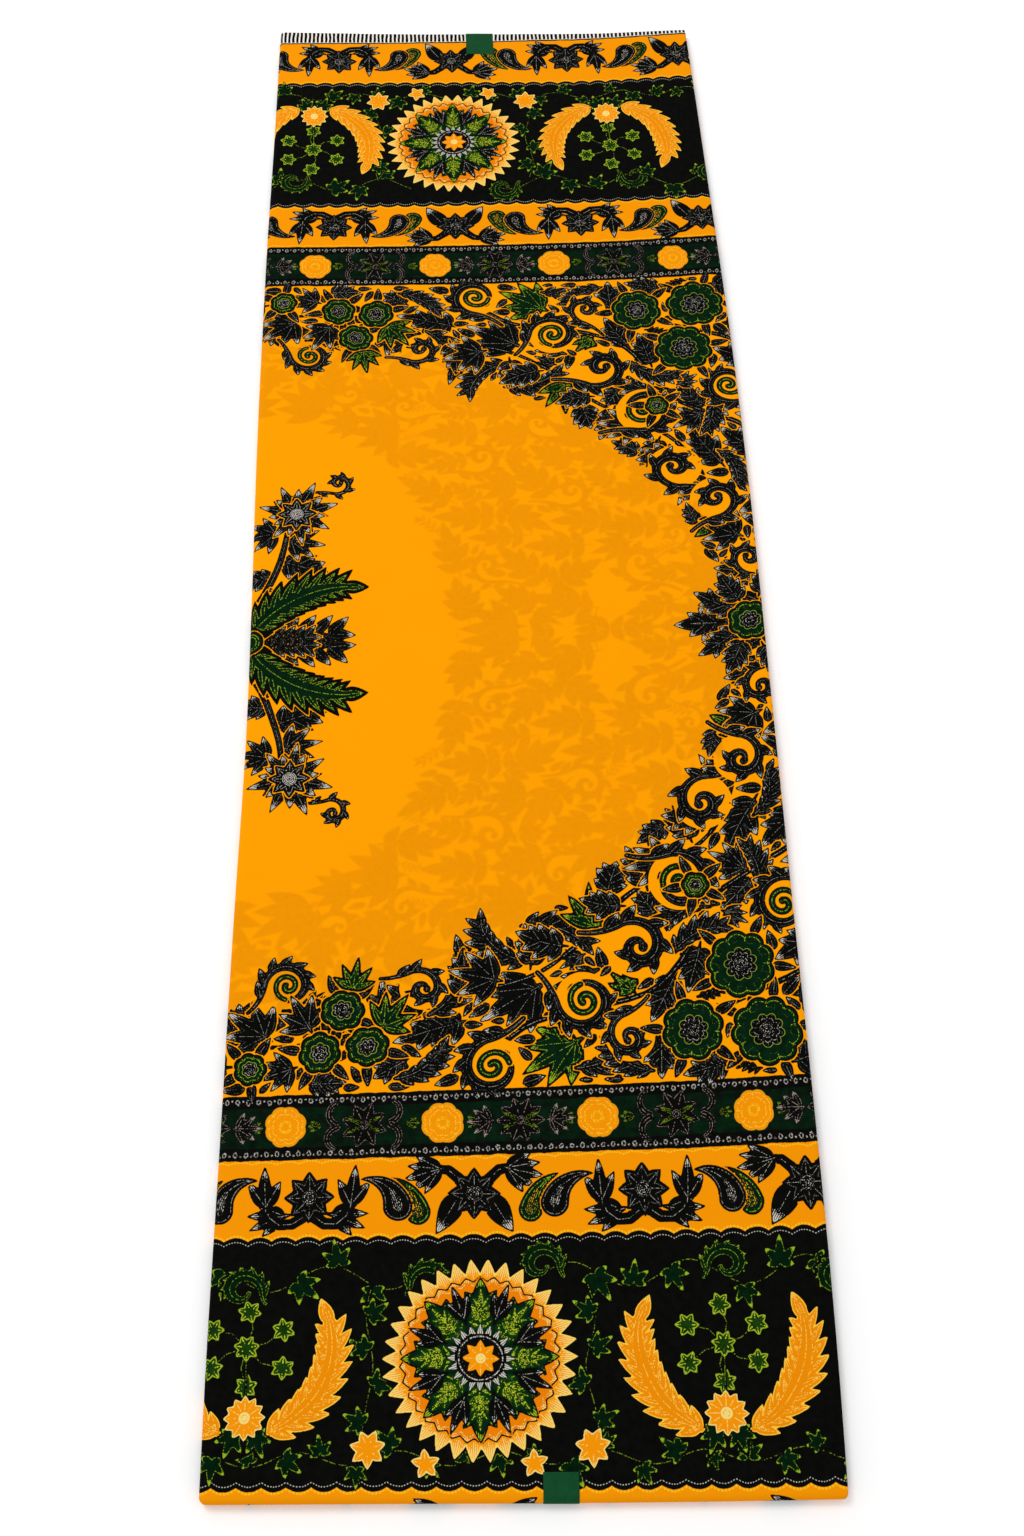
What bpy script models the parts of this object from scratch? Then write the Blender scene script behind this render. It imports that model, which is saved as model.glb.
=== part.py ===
"""Six yards of wax print cotton, folded in half four times and laid flat, with a label over two of its edges.

The panel is worked out first as a straight rectangle, with u across it to the right and v along it away
from the near edge, both from its middle. The last step carries each point to the true, slightly wandering
outline and lifts it with the cloth's gentle relief.
"""

import bpy
import numpy as np

MM = 0.001

# The cloth and its folds, in metres
CLOTH_LENGTH = 5.49
LAYERS = 16
PANEL_WIDTH = CLOTH_LENGTH / LAYERS
PANEL_LENGTH = 1.12
PACK_HEIGHT = 0.008

# The left fold and the near turn go round every layer, and the top right fold goes round half of them
TURN_RADIUS = PACK_HEIGHT / 2
FOLD_RADIUS = PACK_HEIGHT / 4
WALL_TURN = np.radians(135)
TURN_STEPS = 5

# Walls and the gaps between pieces, in metres
WALL = 1.0 * MM
GAP = 0.3 * MM
LABEL_WALL = 0.5 * MM

# Cells over the top and round a corner
ACROSS_CELLS = 10
ALONG_CELLS = 30
CORNER_STEPS = 4

# How far the side edges stray to the right of the straight panel, in mm, from the near end (0) to the far end (1)
SIDE_STRAY = np.array(
    [
        (0.00, 0.1, 0.6),
        (0.06, -0.2, 3.1),
        (0.17, 0.6, 5.2),
        (0.30, 1.5, 6.3),
        (0.40, 2.9, 7.2),
        (0.50, 1.6, 8.1),
        (0.59, -0.3, 8.6),
        (0.69, -1.4, 7.6),
        (0.79, -1.7, 4.8),
        (0.91, -0.7, 1.1),
        (1.00, -0.6, -2.1),
    ],
    dtype=[("along", float), ("left", float), ("right", float)],
)

# How far the end edges stray away from the near end, in mm, from the left side (0) to the right side (1)
END_STRAY = np.array(
    [
        (0.00, 3.1, 0.8),
        (0.29, 1.1, -1.8),
        (0.56, -0.9, -2.6),
        (0.75, -2.0, -3.0),
        (1.00, -2.9, 1.0),
    ],
    dtype=[("across", float), ("near", float), ("far", float)],
)

# Broad swells of the pack: height in mm, waves over the width and over the length, and phase
SWELLS = np.array(
    [
        (0.35, 0.7, 3.2, 0.3),
        (0.25, 1.3, 5.1, 1.9),
        (0.18, -1.1, 7.3, 4.0),
    ],
    dtype=[("height", float), ("across", float), ("along", float), ("phase", float)],
)

# The soft crease across the middle, in mm: its place, its two ends, its depth, half its width and its slant
CREASE_ALONG = -18.0
CREASE_LEFT = -80.0
CREASE_RIGHT = 130.0
CREASE_DEPTH = 0.35
CREASE_HALF_WIDTH = 6.0
CREASE_SLANT = 0.05
CREASE_FADE = 30.0
CREASE_ROWS = (-12.0, -5.0, 0.0, 5.0, 12.0)

# The folded edges under the top right fold, from the top down: layers, set back in mm, and points round each
LOWER_LIPS = np.array(
    [
        (4, 0.4, 5),
        (2, 1.3, 3),
        (1, 0.9, 2),
        (1, 2.0, 2),
    ],
    dtype=[("layers", int), ("set_back", float), ("points", int)],
)
LIP_START = 25

# The cut edges of the layers at the far end stand out in ridges
FAR_RIDGE = 0.35 * MM

# Where the labels lie, in mm: across from the panel's middle, and how far in from their edge
NEAR_LABEL = {"left": 10.0, "right": 29.1, "depth": 15.0}
FAR_LABEL = {"left": -15.0, "right": 7.7, "depth": 24.0}
LABEL_COLUMNS = 4
LABEL_TOP_ROWS = 3
FAR_LABEL_FOOT = 1.2 * MM

# Colours in linear light, and roughness
PRINT_GOLD = (0.96, 0.34, 0.01)
EDGE_OCHRE = (0.42, 0.20, 0.04)
LABEL_GREEN = (0.008, 0.074, 0.025)
CLOTH_ROUGHNESS = 0.75
PAPER_ROUGHNESS = 0.6

PROFILE_COLUMNS = [
    ("left_out", float),
    ("left_height", float),
    ("right_out", float),
    ("right_height", float),
    ("near_out", float),
    ("near_height", float),
    ("far_out", float),
    ("far_height", float),
]


def smooth_read(rows, key, value, at):
    """Reads one column of a table between its rows, on a cubic curve through them with their own slopes."""
    keys = rows[key]
    values = rows[value]
    slopes = np.gradient(values, keys)
    low = np.clip(np.searchsorted(keys, at) - 1, 0, len(keys) - 2)
    step = keys[low + 1] - keys[low]
    part = np.clip((at - keys[low]) / step, 0, 1)
    rest = 1 - part
    from_low = (1 + 2 * part) * rest**2 * values[low] + part * rest**2 * step * slopes[low]
    from_high = part**2 * (1 + 2 * rest) * values[low + 1] - part**2 * rest * step * slopes[low + 1]
    return from_low + from_high


def relief(u, v):
    """The height of the cloth's swells and crease over the flat top, in metres."""
    height = np.zeros(np.shape(u))
    for swell in SWELLS:
        turns = swell["across"] * u / PANEL_WIDTH + swell["along"] * v / PANEL_LENGTH
        height = height + swell["height"] * np.sin(2 * np.pi * turns + swell["phase"])
    across = u / MM
    off_line = v / MM - CREASE_ALONG - CREASE_SLANT * across
    fade_in = 1 / (1 + np.exp(-(across - CREASE_LEFT) * 4 / CREASE_FADE))
    fade_out = 1 / (1 + np.exp((across - CREASE_RIGHT) * 4 / CREASE_FADE))
    trough = CREASE_DEPTH * np.exp(-((off_line / CREASE_HALF_WIDTH) ** 2)) * fade_in * fade_out
    return (height - trough) * MM


def to_outline(u, v, height):
    """Carries points of the straight panel to the true outline, and scales their height by the relief."""
    share_across = u / PANEL_WIDTH + 0.5
    share_along = v / PANEL_LENGTH + 0.5
    left = smooth_read(SIDE_STRAY, "along", "left", share_along)
    right = smooth_read(SIDE_STRAY, "along", "right", share_along)
    near = smooth_read(END_STRAY, "across", "near", share_across)
    far = smooth_read(END_STRAY, "across", "far", share_across)
    x = u + MM * (left + (right - left) * share_across)
    y = v + MM * (near + (far - near) * share_along)
    z = height * (1 + relief(u, v) / PACK_HEIGHT)
    return np.stack([x, y, z], axis=-1)


def top_grid():
    """The u and v of the grid over the top, which ends where the rounded sides begin. Row 0 is the near one."""
    across = np.linspace(-PANEL_WIDTH / 2 + TURN_RADIUS, PANEL_WIDTH / 2 - FOLD_RADIUS, ACROSS_CELLS + 1)
    even_rows = np.linspace(-PANEL_LENGTH / 2 + TURN_RADIUS, PANEL_LENGTH / 2, ALONG_CELLS + 1)
    crease_rows = (CREASE_ALONG + np.array(CREASE_ROWS)) * MM
    clear = np.abs(even_rows - CREASE_ALONG * MM) > 1.5 * CREASE_ROWS[-1] * MM
    along = np.sort(np.concatenate([even_rows[clear], crease_rows]))
    return np.meshgrid(across, along)


def side_path(last_row, last_column, with_far_side):
    """The grid points that the sides hang from, clockwise from the far right corner.

    to_x and to_y say which way the side goes out from its point: +1 right or far, -1 left or near. A corner
    repeats its point while that direction swings round.
    """
    swing = np.linspace(0, np.pi / 2, CORNER_STEPS + 1)[1:-1]
    path = [(row, last_column, 1, 0) for row in range(last_row, -1, -1)]
    path += [(0, last_column, np.cos(angle), -np.sin(angle)) for angle in swing]
    path += [(0, column, 0, -1) for column in range(last_column, -1, -1)]
    path += [(0, 0, -np.sin(angle), -np.cos(angle)) for angle in swing]
    path += [(row, 0, -1, 0) for row in range(last_row + 1)]
    if with_far_side:
        path += [(last_row, 0, -1, 1)]
        path += [(last_row, column, 0, 1) for column in range(last_column + 1)]
        path += [(last_row, last_column, 1, 1)]
    columns = [("row", int), ("column", int), ("to_x", float), ("to_y", float)]
    return np.array(path, dtype=columns)


def wall_profile(depth):
    """The rounded sides of the top layer at a depth under its outer face, from the top's rim down."""
    turn = np.linspace(0, WALL_TURN, TURN_STEPS + 1)
    wide = TURN_RADIUS - depth
    tight = FOLD_RADIUS - depth
    profile = np.zeros(TURN_STEPS + 1, dtype=PROFILE_COLUMNS)
    for side in ("left", "near"):
        profile[side + "_out"] = wide * np.sin(turn)
        profile[side + "_height"] = PACK_HEIGHT - TURN_RADIUS + wide * np.cos(turn)
    profile["right_out"] = tight * np.sin(turn)
    profile["right_height"] = PACK_HEIGHT - FOLD_RADIUS + tight * np.cos(turn)
    return profile


def lower_lip_points():
    """(out, height) down the right side under the top fold, with a rounded bulge for each folded edge."""
    points = [(0.3 * MM, 0.60 * PACK_HEIGHT)]
    top = PACK_HEIGHT / 2 - GAP
    layer = top / LOWER_LIPS["layers"].sum()
    for lip in LOWER_LIPS:
        radius = lip["layers"] * layer / 2
        centre = FOLD_RADIUS - lip["set_back"] * MM - radius
        for turn in np.radians(np.linspace(LIP_START, 180 - LIP_START, lip["points"])):
            points.append((centre + radius * np.sin(turn), top - radius + radius * np.cos(turn)))
        top -= 2 * radius
    points[-1] = (points[-1][0], 0.0)
    return np.array(points)


def hidden_profile():
    """The sides of the hidden layers, from the rim of their top down to the flat underside."""
    under_wall = wall_profile(WALL + GAP)
    lips = lower_lip_points()
    profile = np.zeros(len(under_wall) + len(lips), dtype=PROFILE_COLUMNS)
    profile[: len(under_wall)] = under_wall
    lower = slice(len(under_wall), None)
    profile["right_out"][lower] = lips[:, 0]
    profile["right_height"][lower] = lips[:, 1]
    # Past the end of the wall the last layer comes out to the full radius and turns under.
    turn = np.linspace(WALL_TURN + np.radians(8), np.radians(162), len(lips))
    for side in ("left", "near"):
        profile[side + "_out"][lower] = TURN_RADIUS * np.sin(turn)
        profile[side + "_height"][lower] = TURN_RADIUS + TURN_RADIUS * np.cos(turn)
        profile[side + "_height"][-1] = 0.0
    steps = np.arange(len(profile))
    profile["far_height"] = (PACK_HEIGHT - WALL - GAP) * (1 - steps / steps[-1])
    profile["far_out"] = FAR_RIDGE * (steps % 2)
    return profile


def side_rings(grid_u, grid_v, path, profile):
    """The points of every ring round the sides, one ring for each row of the profile."""
    start_u = grid_u[path["row"], path["column"]]
    start_v = grid_v[path["row"], path["column"]]
    sideways = path["to_x"] ** 2 / (path["to_x"] ** 2 + path["to_y"] ** 2)
    rings = []
    for level in profile:
        right = path["to_x"] > 0
        far = path["to_y"] > 0
        out_u = path["to_x"] * np.where(right, level["right_out"], level["left_out"])
        out_v = path["to_y"] * np.where(far, level["far_out"], level["near_out"])
        side_height = np.where(right, level["right_height"], level["left_height"])
        end_height = np.where(far, level["far_height"], level["near_height"])
        height = sideways * side_height + (1 - sideways) * end_height
        rings.append(to_outline(start_u + out_u, start_v + out_v, height))
    return rings


def skin(profile, top_height, with_far_side):
    """Points and faces of the top with its rounded sides, facing out, and the number of points in each ring."""
    grid_u, grid_v = top_grid()
    rows, columns = grid_u.shape
    path = side_path(rows - 1, columns - 1, with_far_side)
    top_points = to_outline(grid_u, grid_v, np.full(grid_u.shape, top_height)).reshape(-1, 3)
    rings = side_rings(grid_u, grid_v, path, profile[1:])
    number = np.arange(rows * columns).reshape(rows, columns)
    corners = [number[:-1, :-1], number[:-1, 1:], number[1:, 1:], number[1:, :-1]]
    faces = np.stack(corners, axis=-1).reshape(-1, 4).tolist()
    upper = number[path["row"], path["column"]]
    for ring in range(len(rings)):
        lower = rows * columns + ring * len(path) + np.arange(len(path))
        last = len(path) if with_far_side else len(path) - 1
        for here in range(last):
            onward = (here + 1) % len(path)
            face = [upper[here], upper[onward], lower[onward], lower[here]]
            faces.append([int(point) for point in dict.fromkeys(face)])
        upper = lower
    return np.concatenate([top_points, *rings]), faces, len(path)


def open_edges(faces):
    """The edges that only one face has, each in that face's direction."""
    edges = {(face[i - 1], face[i]) for face in faces for i in range(len(face))}
    return [edge for edge in edges if (edge[1], edge[0]) not in edges]


def wall_between(outer, inner, faces):
    """A closed wall from two skins with the same faces: the outer one, the inner one turned in, and its rim."""
    shift = len(outer)
    inside = [[point + shift for point in reversed(face)] for face in faces]
    rim = [[b, a, a + shift, b + shift] for a, b in sorted(open_edges(faces))]
    return np.concatenate([outer, inner]), faces + inside + rim


def face_layer():
    """The top layer of the cloth, round the left fold, the near turn and the top right fold."""
    outer, faces, _ = skin(wall_profile(0), PACK_HEIGHT, with_far_side=False)
    inner, _, _ = skin(wall_profile(WALL), PACK_HEIGHT - WALL, with_far_side=False)
    return wall_between(outer, inner, faces)


def hidden_layers():
    """The hidden layers as one rounded solid with a flat underside."""
    points, faces, ring = skin(hidden_profile(), PACK_HEIGHT - WALL - GAP, with_far_side=True)
    underside = list(range(len(points) - ring, len(points)))
    return points, faces + [underside]


def strip(across, rows_v, rows_height, from_far):
    """A skin with a column for each place across and a row for each (v, height) of its path."""
    u, v = np.meshgrid(across, rows_v)
    _, height = np.meshgrid(across, rows_height)
    points = to_outline(u, v, height).reshape(-1, 3)
    number = np.arange(u.size).reshape(u.shape)
    corners = [number[:-1, :-1], number[1:, :-1], number[1:, 1:], number[:-1, 1:]]
    if from_far:
        corners.reverse()
    faces = np.stack(corners, axis=-1).reshape(-1, 4).tolist()
    return points, faces


def label_near():
    """The label over the near turn, made from the top layer's own profile moved out."""
    across = np.linspace(NEAR_LABEL["left"], NEAR_LABEL["right"], LABEL_COLUMNS) * MM
    start = (-PANEL_LENGTH / 2 + NEAR_LABEL["depth"] * MM, -PANEL_LENGTH / 2 + TURN_RADIUS)
    skins = []
    for depth in (-GAP - LABEL_WALL, -GAP):
        profile = wall_profile(depth)
        top_v = np.linspace(start[0], start[1], LABEL_TOP_ROWS)
        rows_v = np.concatenate([top_v, start[1] - profile["near_out"][1:]])
        rows_height = np.concatenate([np.full(LABEL_TOP_ROWS, PACK_HEIGHT - depth), profile["near_height"][1:]])
        skins.append(strip(across, rows_v, rows_height, from_far=False))
    return wall_between(skins[0][0], skins[1][0], skins[0][1])


def label_far():
    """The label over the far edge: along the top, over the cut edges and down them."""
    across = np.linspace(FAR_LABEL["left"], FAR_LABEL["right"], LABEL_COLUMNS) * MM
    edge = PANEL_LENGTH / 2
    skins = []
    for depth in (-GAP - LABEL_WALL, -GAP):
        clear = FAR_RIDGE - depth
        top_v = np.linspace(edge - FAR_LABEL["depth"] * MM, edge, LABEL_TOP_ROWS)
        rows_v = np.concatenate([top_v, [edge + 0.7 * clear, edge + clear, edge + clear]])
        over_edge = [PACK_HEIGHT - 0.7 * depth, PACK_HEIGHT - 2 * GAP, FAR_LABEL_FOOT]
        rows_height = np.concatenate([np.full(LABEL_TOP_ROWS, PACK_HEIGHT - depth), over_edge])
        skins.append(strip(across, rows_v, rows_height, from_far=True))
    return wall_between(skins[0][0], skins[1][0], skins[0][1])


def plain_material(name, colour, roughness):
    """A matt, non-metallic finish in one colour."""
    material = bpy.data.materials.new(name)
    material.use_nodes = True
    shader = material.node_tree.nodes["Principled BSDF"]
    shader.inputs["Base Color"].default_value = (*colour, 1)
    shader.inputs["Roughness"].default_value = roughness
    shader.inputs["Metallic"].default_value = 0
    return material


def add_piece(name, points, faces, colour, roughness):
    """Puts one piece in the scene as a mesh object with its own material."""
    mesh = bpy.data.meshes.new(name)
    mesh.from_pydata(points.tolist(), [], faces)
    mesh.materials.append(plain_material(name, colour, roughness))
    mesh.shade_smooth()
    mesh.set_sharp_from_angle(angle=np.radians(35))
    mesh.validate()
    piece = bpy.data.objects.new(name, mesh)
    bpy.context.scene.collection.objects.link(piece)
    return piece


def main():
    for old in list(bpy.data.objects):
        bpy.data.objects.remove(old)
    pieces = {
        "face_layer": (*face_layer(), PRINT_GOLD, CLOTH_ROUGHNESS),
        "hidden_layers": (*hidden_layers(), EDGE_OCHRE, CLOTH_ROUGHNESS),
        "label_far": (*label_far(), LABEL_GREEN, PAPER_ROUGHNESS),
        "label_near": (*label_near(), LABEL_GREEN, PAPER_ROUGHNESS),
    }
    everything = np.concatenate([piece[0] for piece in pieces.values()])
    middle = (everything.min(axis=0) + everything.max(axis=0)) / 2
    # The origin is on the underside, below the middle of the whole outline.
    origin = np.array([middle[0], middle[1], 0.0])
    for name, (points, faces, colour, roughness) in pieces.items():
        add_piece(name, points - origin, faces, colour, roughness)


main()
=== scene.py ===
"""A length of wax print cotton, folded in half four times and laid flat, with two small labels over its edges.

Lengths on the print are in millimetres: p runs across the panel to the right from its middle, q runs along it
from the near edge, and b runs outwards from the field's edge through the borders. All other lengths are metres.
"""

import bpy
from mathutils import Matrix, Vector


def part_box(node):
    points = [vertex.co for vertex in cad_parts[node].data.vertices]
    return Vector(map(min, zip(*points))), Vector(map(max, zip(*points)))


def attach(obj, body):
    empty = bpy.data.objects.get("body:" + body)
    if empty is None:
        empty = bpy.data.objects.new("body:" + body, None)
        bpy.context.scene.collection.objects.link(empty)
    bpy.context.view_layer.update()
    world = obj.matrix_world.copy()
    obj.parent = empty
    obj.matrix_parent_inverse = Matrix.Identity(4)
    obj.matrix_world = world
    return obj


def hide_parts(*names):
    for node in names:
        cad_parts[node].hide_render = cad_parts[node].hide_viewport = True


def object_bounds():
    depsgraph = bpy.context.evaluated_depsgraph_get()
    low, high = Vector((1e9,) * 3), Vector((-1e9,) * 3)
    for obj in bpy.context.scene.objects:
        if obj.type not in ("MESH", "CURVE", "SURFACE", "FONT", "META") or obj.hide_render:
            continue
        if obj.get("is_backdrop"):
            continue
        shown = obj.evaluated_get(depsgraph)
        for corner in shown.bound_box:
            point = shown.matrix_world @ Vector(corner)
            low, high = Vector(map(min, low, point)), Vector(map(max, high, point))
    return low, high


bl_info = {
    "name": "Folded wax print cotton",
    "version": (1, 0, 0),
    "blender": (4, 5, 0),
    "location": "3D View > Sidebar > Wax print",
    "description": "Builds a folded length of printed cotton, its folded layers, its labels and the stage",
    "category": "Object",
}

import bmesh
import bpy
import numpy as np
from mathutils import Euler

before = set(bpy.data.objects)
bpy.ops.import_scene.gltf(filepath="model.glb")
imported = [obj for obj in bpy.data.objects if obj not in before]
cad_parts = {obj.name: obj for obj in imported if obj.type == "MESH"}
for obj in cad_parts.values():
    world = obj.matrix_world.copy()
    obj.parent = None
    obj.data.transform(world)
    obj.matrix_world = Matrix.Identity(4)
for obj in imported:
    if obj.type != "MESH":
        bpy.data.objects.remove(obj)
CAD_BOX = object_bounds()

MM = 0.001

# The folded panel, as its solids have it
CLOTH_LENGTH = 5.49
LAYERS = 16
PANEL_WIDTH = CLOTH_LENGTH / LAYERS
PANEL_LENGTH = 1.12
PACK_HEIGHT = 0.008
TURN_RADIUS = PACK_HEIGHT / 2
FOLD_RADIUS = PACK_HEIGHT / 4
WALL_TURN = np.radians(135)

# The panel on the print, in mm, its whole arc length, and how much of that is turned under at the near edge
PRINT_WIDTH = 343.125
PRINT_LENGTH = 1120
ARC_LENGTH = 1125.4
TURNED_UNDER = 5

# The largest depth that is kept, and how far the halves of the print are worked out past their meeting, in mm
DEEP = 9.0
HALVES_OVERLAP = 12

# How far the side edges stray to the right, in mm: along from the near end, left edge, right edge
SIDE_STRAY = np.array([
    (0.00, 0.1, 0.6), (0.06, -0.2, 3.1), (0.17, 0.6, 5.2), (0.30, 1.5, 6.3), (0.40, 2.9, 7.2), (0.50, 1.6, 8.1),
    (0.59, -0.3, 8.6), (0.69, -1.4, 7.6), (0.79, -1.7, 4.8), (0.91, -0.7, 1.1), (1.00, -0.6, -2.1),
])

# How far the end edges stray away from the near end, in mm: across from the left, near edge, far edge
END_STRAY = np.array([
    (0.00, 3.1, 0.8), (0.29, 1.1, -1.8), (0.56, -0.9, -2.6), (0.75, -2.0, -3.0), (1.00, -2.9, 1.0),
])

# Broad swells: height in mm, waves over the width, waves over the length, phase
SWELLS = [(0.35, 0.7, 3.2, 0.3), (0.25, 1.3, 5.1, 1.9), (0.18, -1.1, 7.3, 4.0)]

# Soft creases, in mm: ends across, middle along, slant, depth, half width, fade at the ends
CREASES = [
    (-80, 130, -18, 0.050, 0.35, 6.0, 30), (-171, -115, 126, 0.020, 0.20, 3.5, 12),
    (-138, -69, 57, -0.030, 0.15, 4.0, 16), (-134, -48, -60, 0.010, 0.18, 4.5, 18),
    (-159, -108, -180, 0.060, 0.15, 4.0, 12),
]

# Fine ripples left by the fold lines: height in mm, waves over the width, waves over the length, phase
RIPPLES = [(0.050, 3.1, 9.4, 0.4), (0.040, -4.3, 13.1, 2.2), (0.030, 6.7, 21.0, 1.1), (0.022, -9.2, 17.0, 5.0)]

# How far the printed rows drop from left to right, in mm, along the panel
ROW_DRIFT = np.array([
    (0.00, 0.0), (0.12, 4.7), (0.16, 8.6), (0.20, 11.1), (0.48, 15.1), (0.75, 8.3), (0.83, 8.0), (0.95, 6.6),
    (1.00, 10.3),
])

# Where the printed bands lie: q in mm against b in mm, for the near border and for the far one
NEAR_BANDS = np.array([(-20.0, 243.6), (7.2, 216.0), (137.1, 84.0), (183.0, 39.0), (221.6, 0.0), (533.0, -311.4)])
FAR_BANDS = np.array([
    (533.0, -311.4), (844.4, 0.0), (883.9, 39.0), (926.0, 84.0), (1061.5, 216.0), (1109.9, 264.5),
    (1135.0, 289.6),
])
MIDDLE_Q = 533.0

# The plain arch of the field: its centre and half axes on the print
ARCH_P = -171.0
ARCH_ACROSS = 310.0
ARCH_ALONG = 250.0

# The plain arch of the faint print that shows through from the layer below
GHOST_P = -171.0
GHOST_ACROSS = 132.0
GHOST_ALONG = 190.0

# The labels, in metres: cells, the rim's height over the cloth, and the far one's bend and reach past the edge
LABEL_CELL = 0.0006
LABEL_RIM_LIFT = 0.00002
LABEL_BEND = 0.0009
FAR_LABEL_DOWN = 0.0066

# The floor's height, and the camera's place over the panel's middle and its turn in degrees
FLOOR_HEIGHT = -0.0003
CAMERA_PLACE = (-0.01718, -0.56891, 0.91126)
CAMERA_TURN = (25.9432, -0.6789, -1.4856)

# The print, once worked out, for the pieces that continue it
cloth_arrays = {}

CLOTH_PIECES = (
    "cloth_near_border", "cloth_field_near", "cloth_field_middle", "cloth_field_far", "cloth_far_border",
)


def light(red, green, blue):
    """Linear light from a colour as a screen shows it, 0 to 255."""
    shown = np.array([red, green, blue]) / 255
    return tuple(float(x) for x in np.where(shown <= 0.04045, shown / 12.92, ((shown + 0.055) / 1.055) ** 2.4))


GOLD = light(241, 146, 4)
GOLD_DEEP = light(232, 126, 4)
BLACK = light(11, 12, 10)
GREEN = light(6, 36, 17)
LIME = light(160, 190, 32)
CREAM = light(240, 214, 120)
WHITE = light(212, 206, 194)
YELLOW = light(246, 196, 36)


# ---- surfaces


def smooth_read(table, column, at):
    """Reads a column of a table between its rows, on a cubic curve through them with their own slopes."""
    keys, values = table[:, 0], table[:, column]
    slopes = np.gradient(values, keys)
    low = np.clip(np.searchsorted(keys, at) - 1, 0, len(keys) - 2)
    step = keys[low + 1] - keys[low]
    part = np.clip((at - keys[low]) / step, 0, 1)
    rest = 1 - part
    from_low = (1 + 2 * part) * rest**2 * values[low] + part * rest**2 * step * slopes[low]
    from_high = part**2 * (1 + 2 * rest) * values[low + 1] - part**2 * rest * step * slopes[low + 1]
    return from_low + from_high


def waves(rows, u, v):
    """A sum of sine waves over the panel, in mm."""
    return sum(
        height * np.sin(2 * np.pi * (across * u / PANEL_WIDTH + along * v / PANEL_LENGTH) + phase)
        for height, across, along, phase in rows
    )


def relief(u, v, crease_depth=1.0):
    """The height of swells, ripples and creases over the flat top, in metres: waves less one trough a crease."""
    height = waves(SWELLS, u, v) + waves(RIPPLES, u, v)
    across = u / MM
    for left, right, along, slant, depth, half_width, fade in CREASES:
        bend = 2.0 * np.sin(across / 23 + along)
        off_line = v / MM - along - slant * across - bend
        start = 1 / (1 + np.exp(-(across - left) * 4 / fade))
        end = 1 / (1 + np.exp((across - right) * 4 / fade))
        height = height - crease_depth * depth * np.exp(-((off_line / half_width) ** 2)) * start * end
    return height * MM


def to_outline(u, v, height, crease_depth=1.0):
    """Carries points of the straight panel to the true outline, and scales their height by the relief."""
    share_across = u / PANEL_WIDTH + 0.5
    share_along = v / PANEL_LENGTH + 0.5
    left, right = (smooth_read(SIDE_STRAY, column, share_along) for column in (1, 2))
    near, far = (smooth_read(END_STRAY, column, share_across) for column in (1, 2))
    x = u + MM * (left + (right - left) * share_across)
    y = v + MM * (near + (far - near) * share_along)
    z = height * (1 + relief(u, v, crease_depth) / PACK_HEIGHT)
    return np.stack([x, y, z], axis=-1)


def wrap(a, c, lift, crease_depth=1.0):
    """Points of a skin over the pack, from arc lengths a across and c along, lifted off the cloth's face.

    Flat on top, and past a fold's start it turns on a circle: out by r sin(turn) and up by r cos(turn). Where a
    side fold and the near turn meet, the turn is the larger of the two and its direction swings from one to
    the other.
    """
    left_start = -PANEL_WIDTH / 2 + TURN_RADIUS
    right_start = PANEL_WIDTH / 2 - FOLD_RADIUS
    near_start = -PANEL_LENGTH / 2 + TURN_RADIUS
    right = a > 0
    side_radius = np.where(right, FOLD_RADIUS, TURN_RADIUS)
    side_turn = np.where(right, np.maximum(a - right_start, 0), np.maximum(left_start - a, 0)) / side_radius
    end_turn = np.maximum(near_start - c, 0) / TURN_RADIUS
    turn = np.maximum(side_turn, end_turn)
    safe = np.maximum(turn, 1e-9)
    swing = np.where(side_turn > end_turn, 1 - end_turn / safe / 2, side_turn / safe / 2) * np.pi / 2
    to_side = np.sin(swing)
    to_end = np.cos(swing)
    out = np.sin(turn)
    side_height = PACK_HEIGHT - side_radius + (side_radius + lift) * np.cos(turn)
    end_height = PACK_HEIGHT - TURN_RADIUS + (TURN_RADIUS + lift) * np.cos(turn)
    height = to_side**2 * side_height + to_end**2 * end_height
    height = np.where(turn > 0, height, PACK_HEIGHT + lift)
    u = np.clip(a, left_start, right_start) + np.where(right, 1, -1) * to_side * (side_radius + lift) * out
    v = np.maximum(c, near_start) - to_end * (TURN_RADIUS + lift) * out
    return to_outline(u, v, height, crease_depth)


def print_place(a, c):
    """Print coordinates (p, b, q) in mm of arc lengths a across and c along."""
    p = a / MM
    along = c / MM + PRINT_LENGTH / 2
    q = along - smooth_read(ROW_DRIFT, 1, np.clip(along / PRINT_LENGTH, 0, 1)) * p / PRINT_WIDTH
    near, far = (np.interp(q, *bands.T) for bands in (NEAR_BANDS, FAR_BANDS))
    return p, np.where(q < MIDDLE_Q, near, far), q


def corners(grid):
    """The four corners of each cell of a grid, anticlockwise from its near left one."""
    return np.stack([grid[:-1, :-1], grid[:-1, 1:], grid[1:, 1:], grid[1:, :-1]], axis=2)


def origin_shift():
    """From the panel's own middle to the model's origin, set by the solid that the cloth replaces."""
    a = np.linspace(-PANEL_WIDTH / 2 - 0.01, PANEL_WIDTH / 2 + 0.01, 200)
    low, high = (np.array(corner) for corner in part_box("face_layer"))
    grid_a, grid_c = np.meshgrid(np.clip(a, *across_ends()), np.linspace(*along_ends(), 800))
    points = wrap(grid_a, grid_c, 0.0, 0.0).reshape(-1, 3)
    shift = (low + high) / 2 - (points.min(axis=0) + points.max(axis=0)) / 2
    return np.array([shift[0], shift[1], 0.0])


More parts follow.
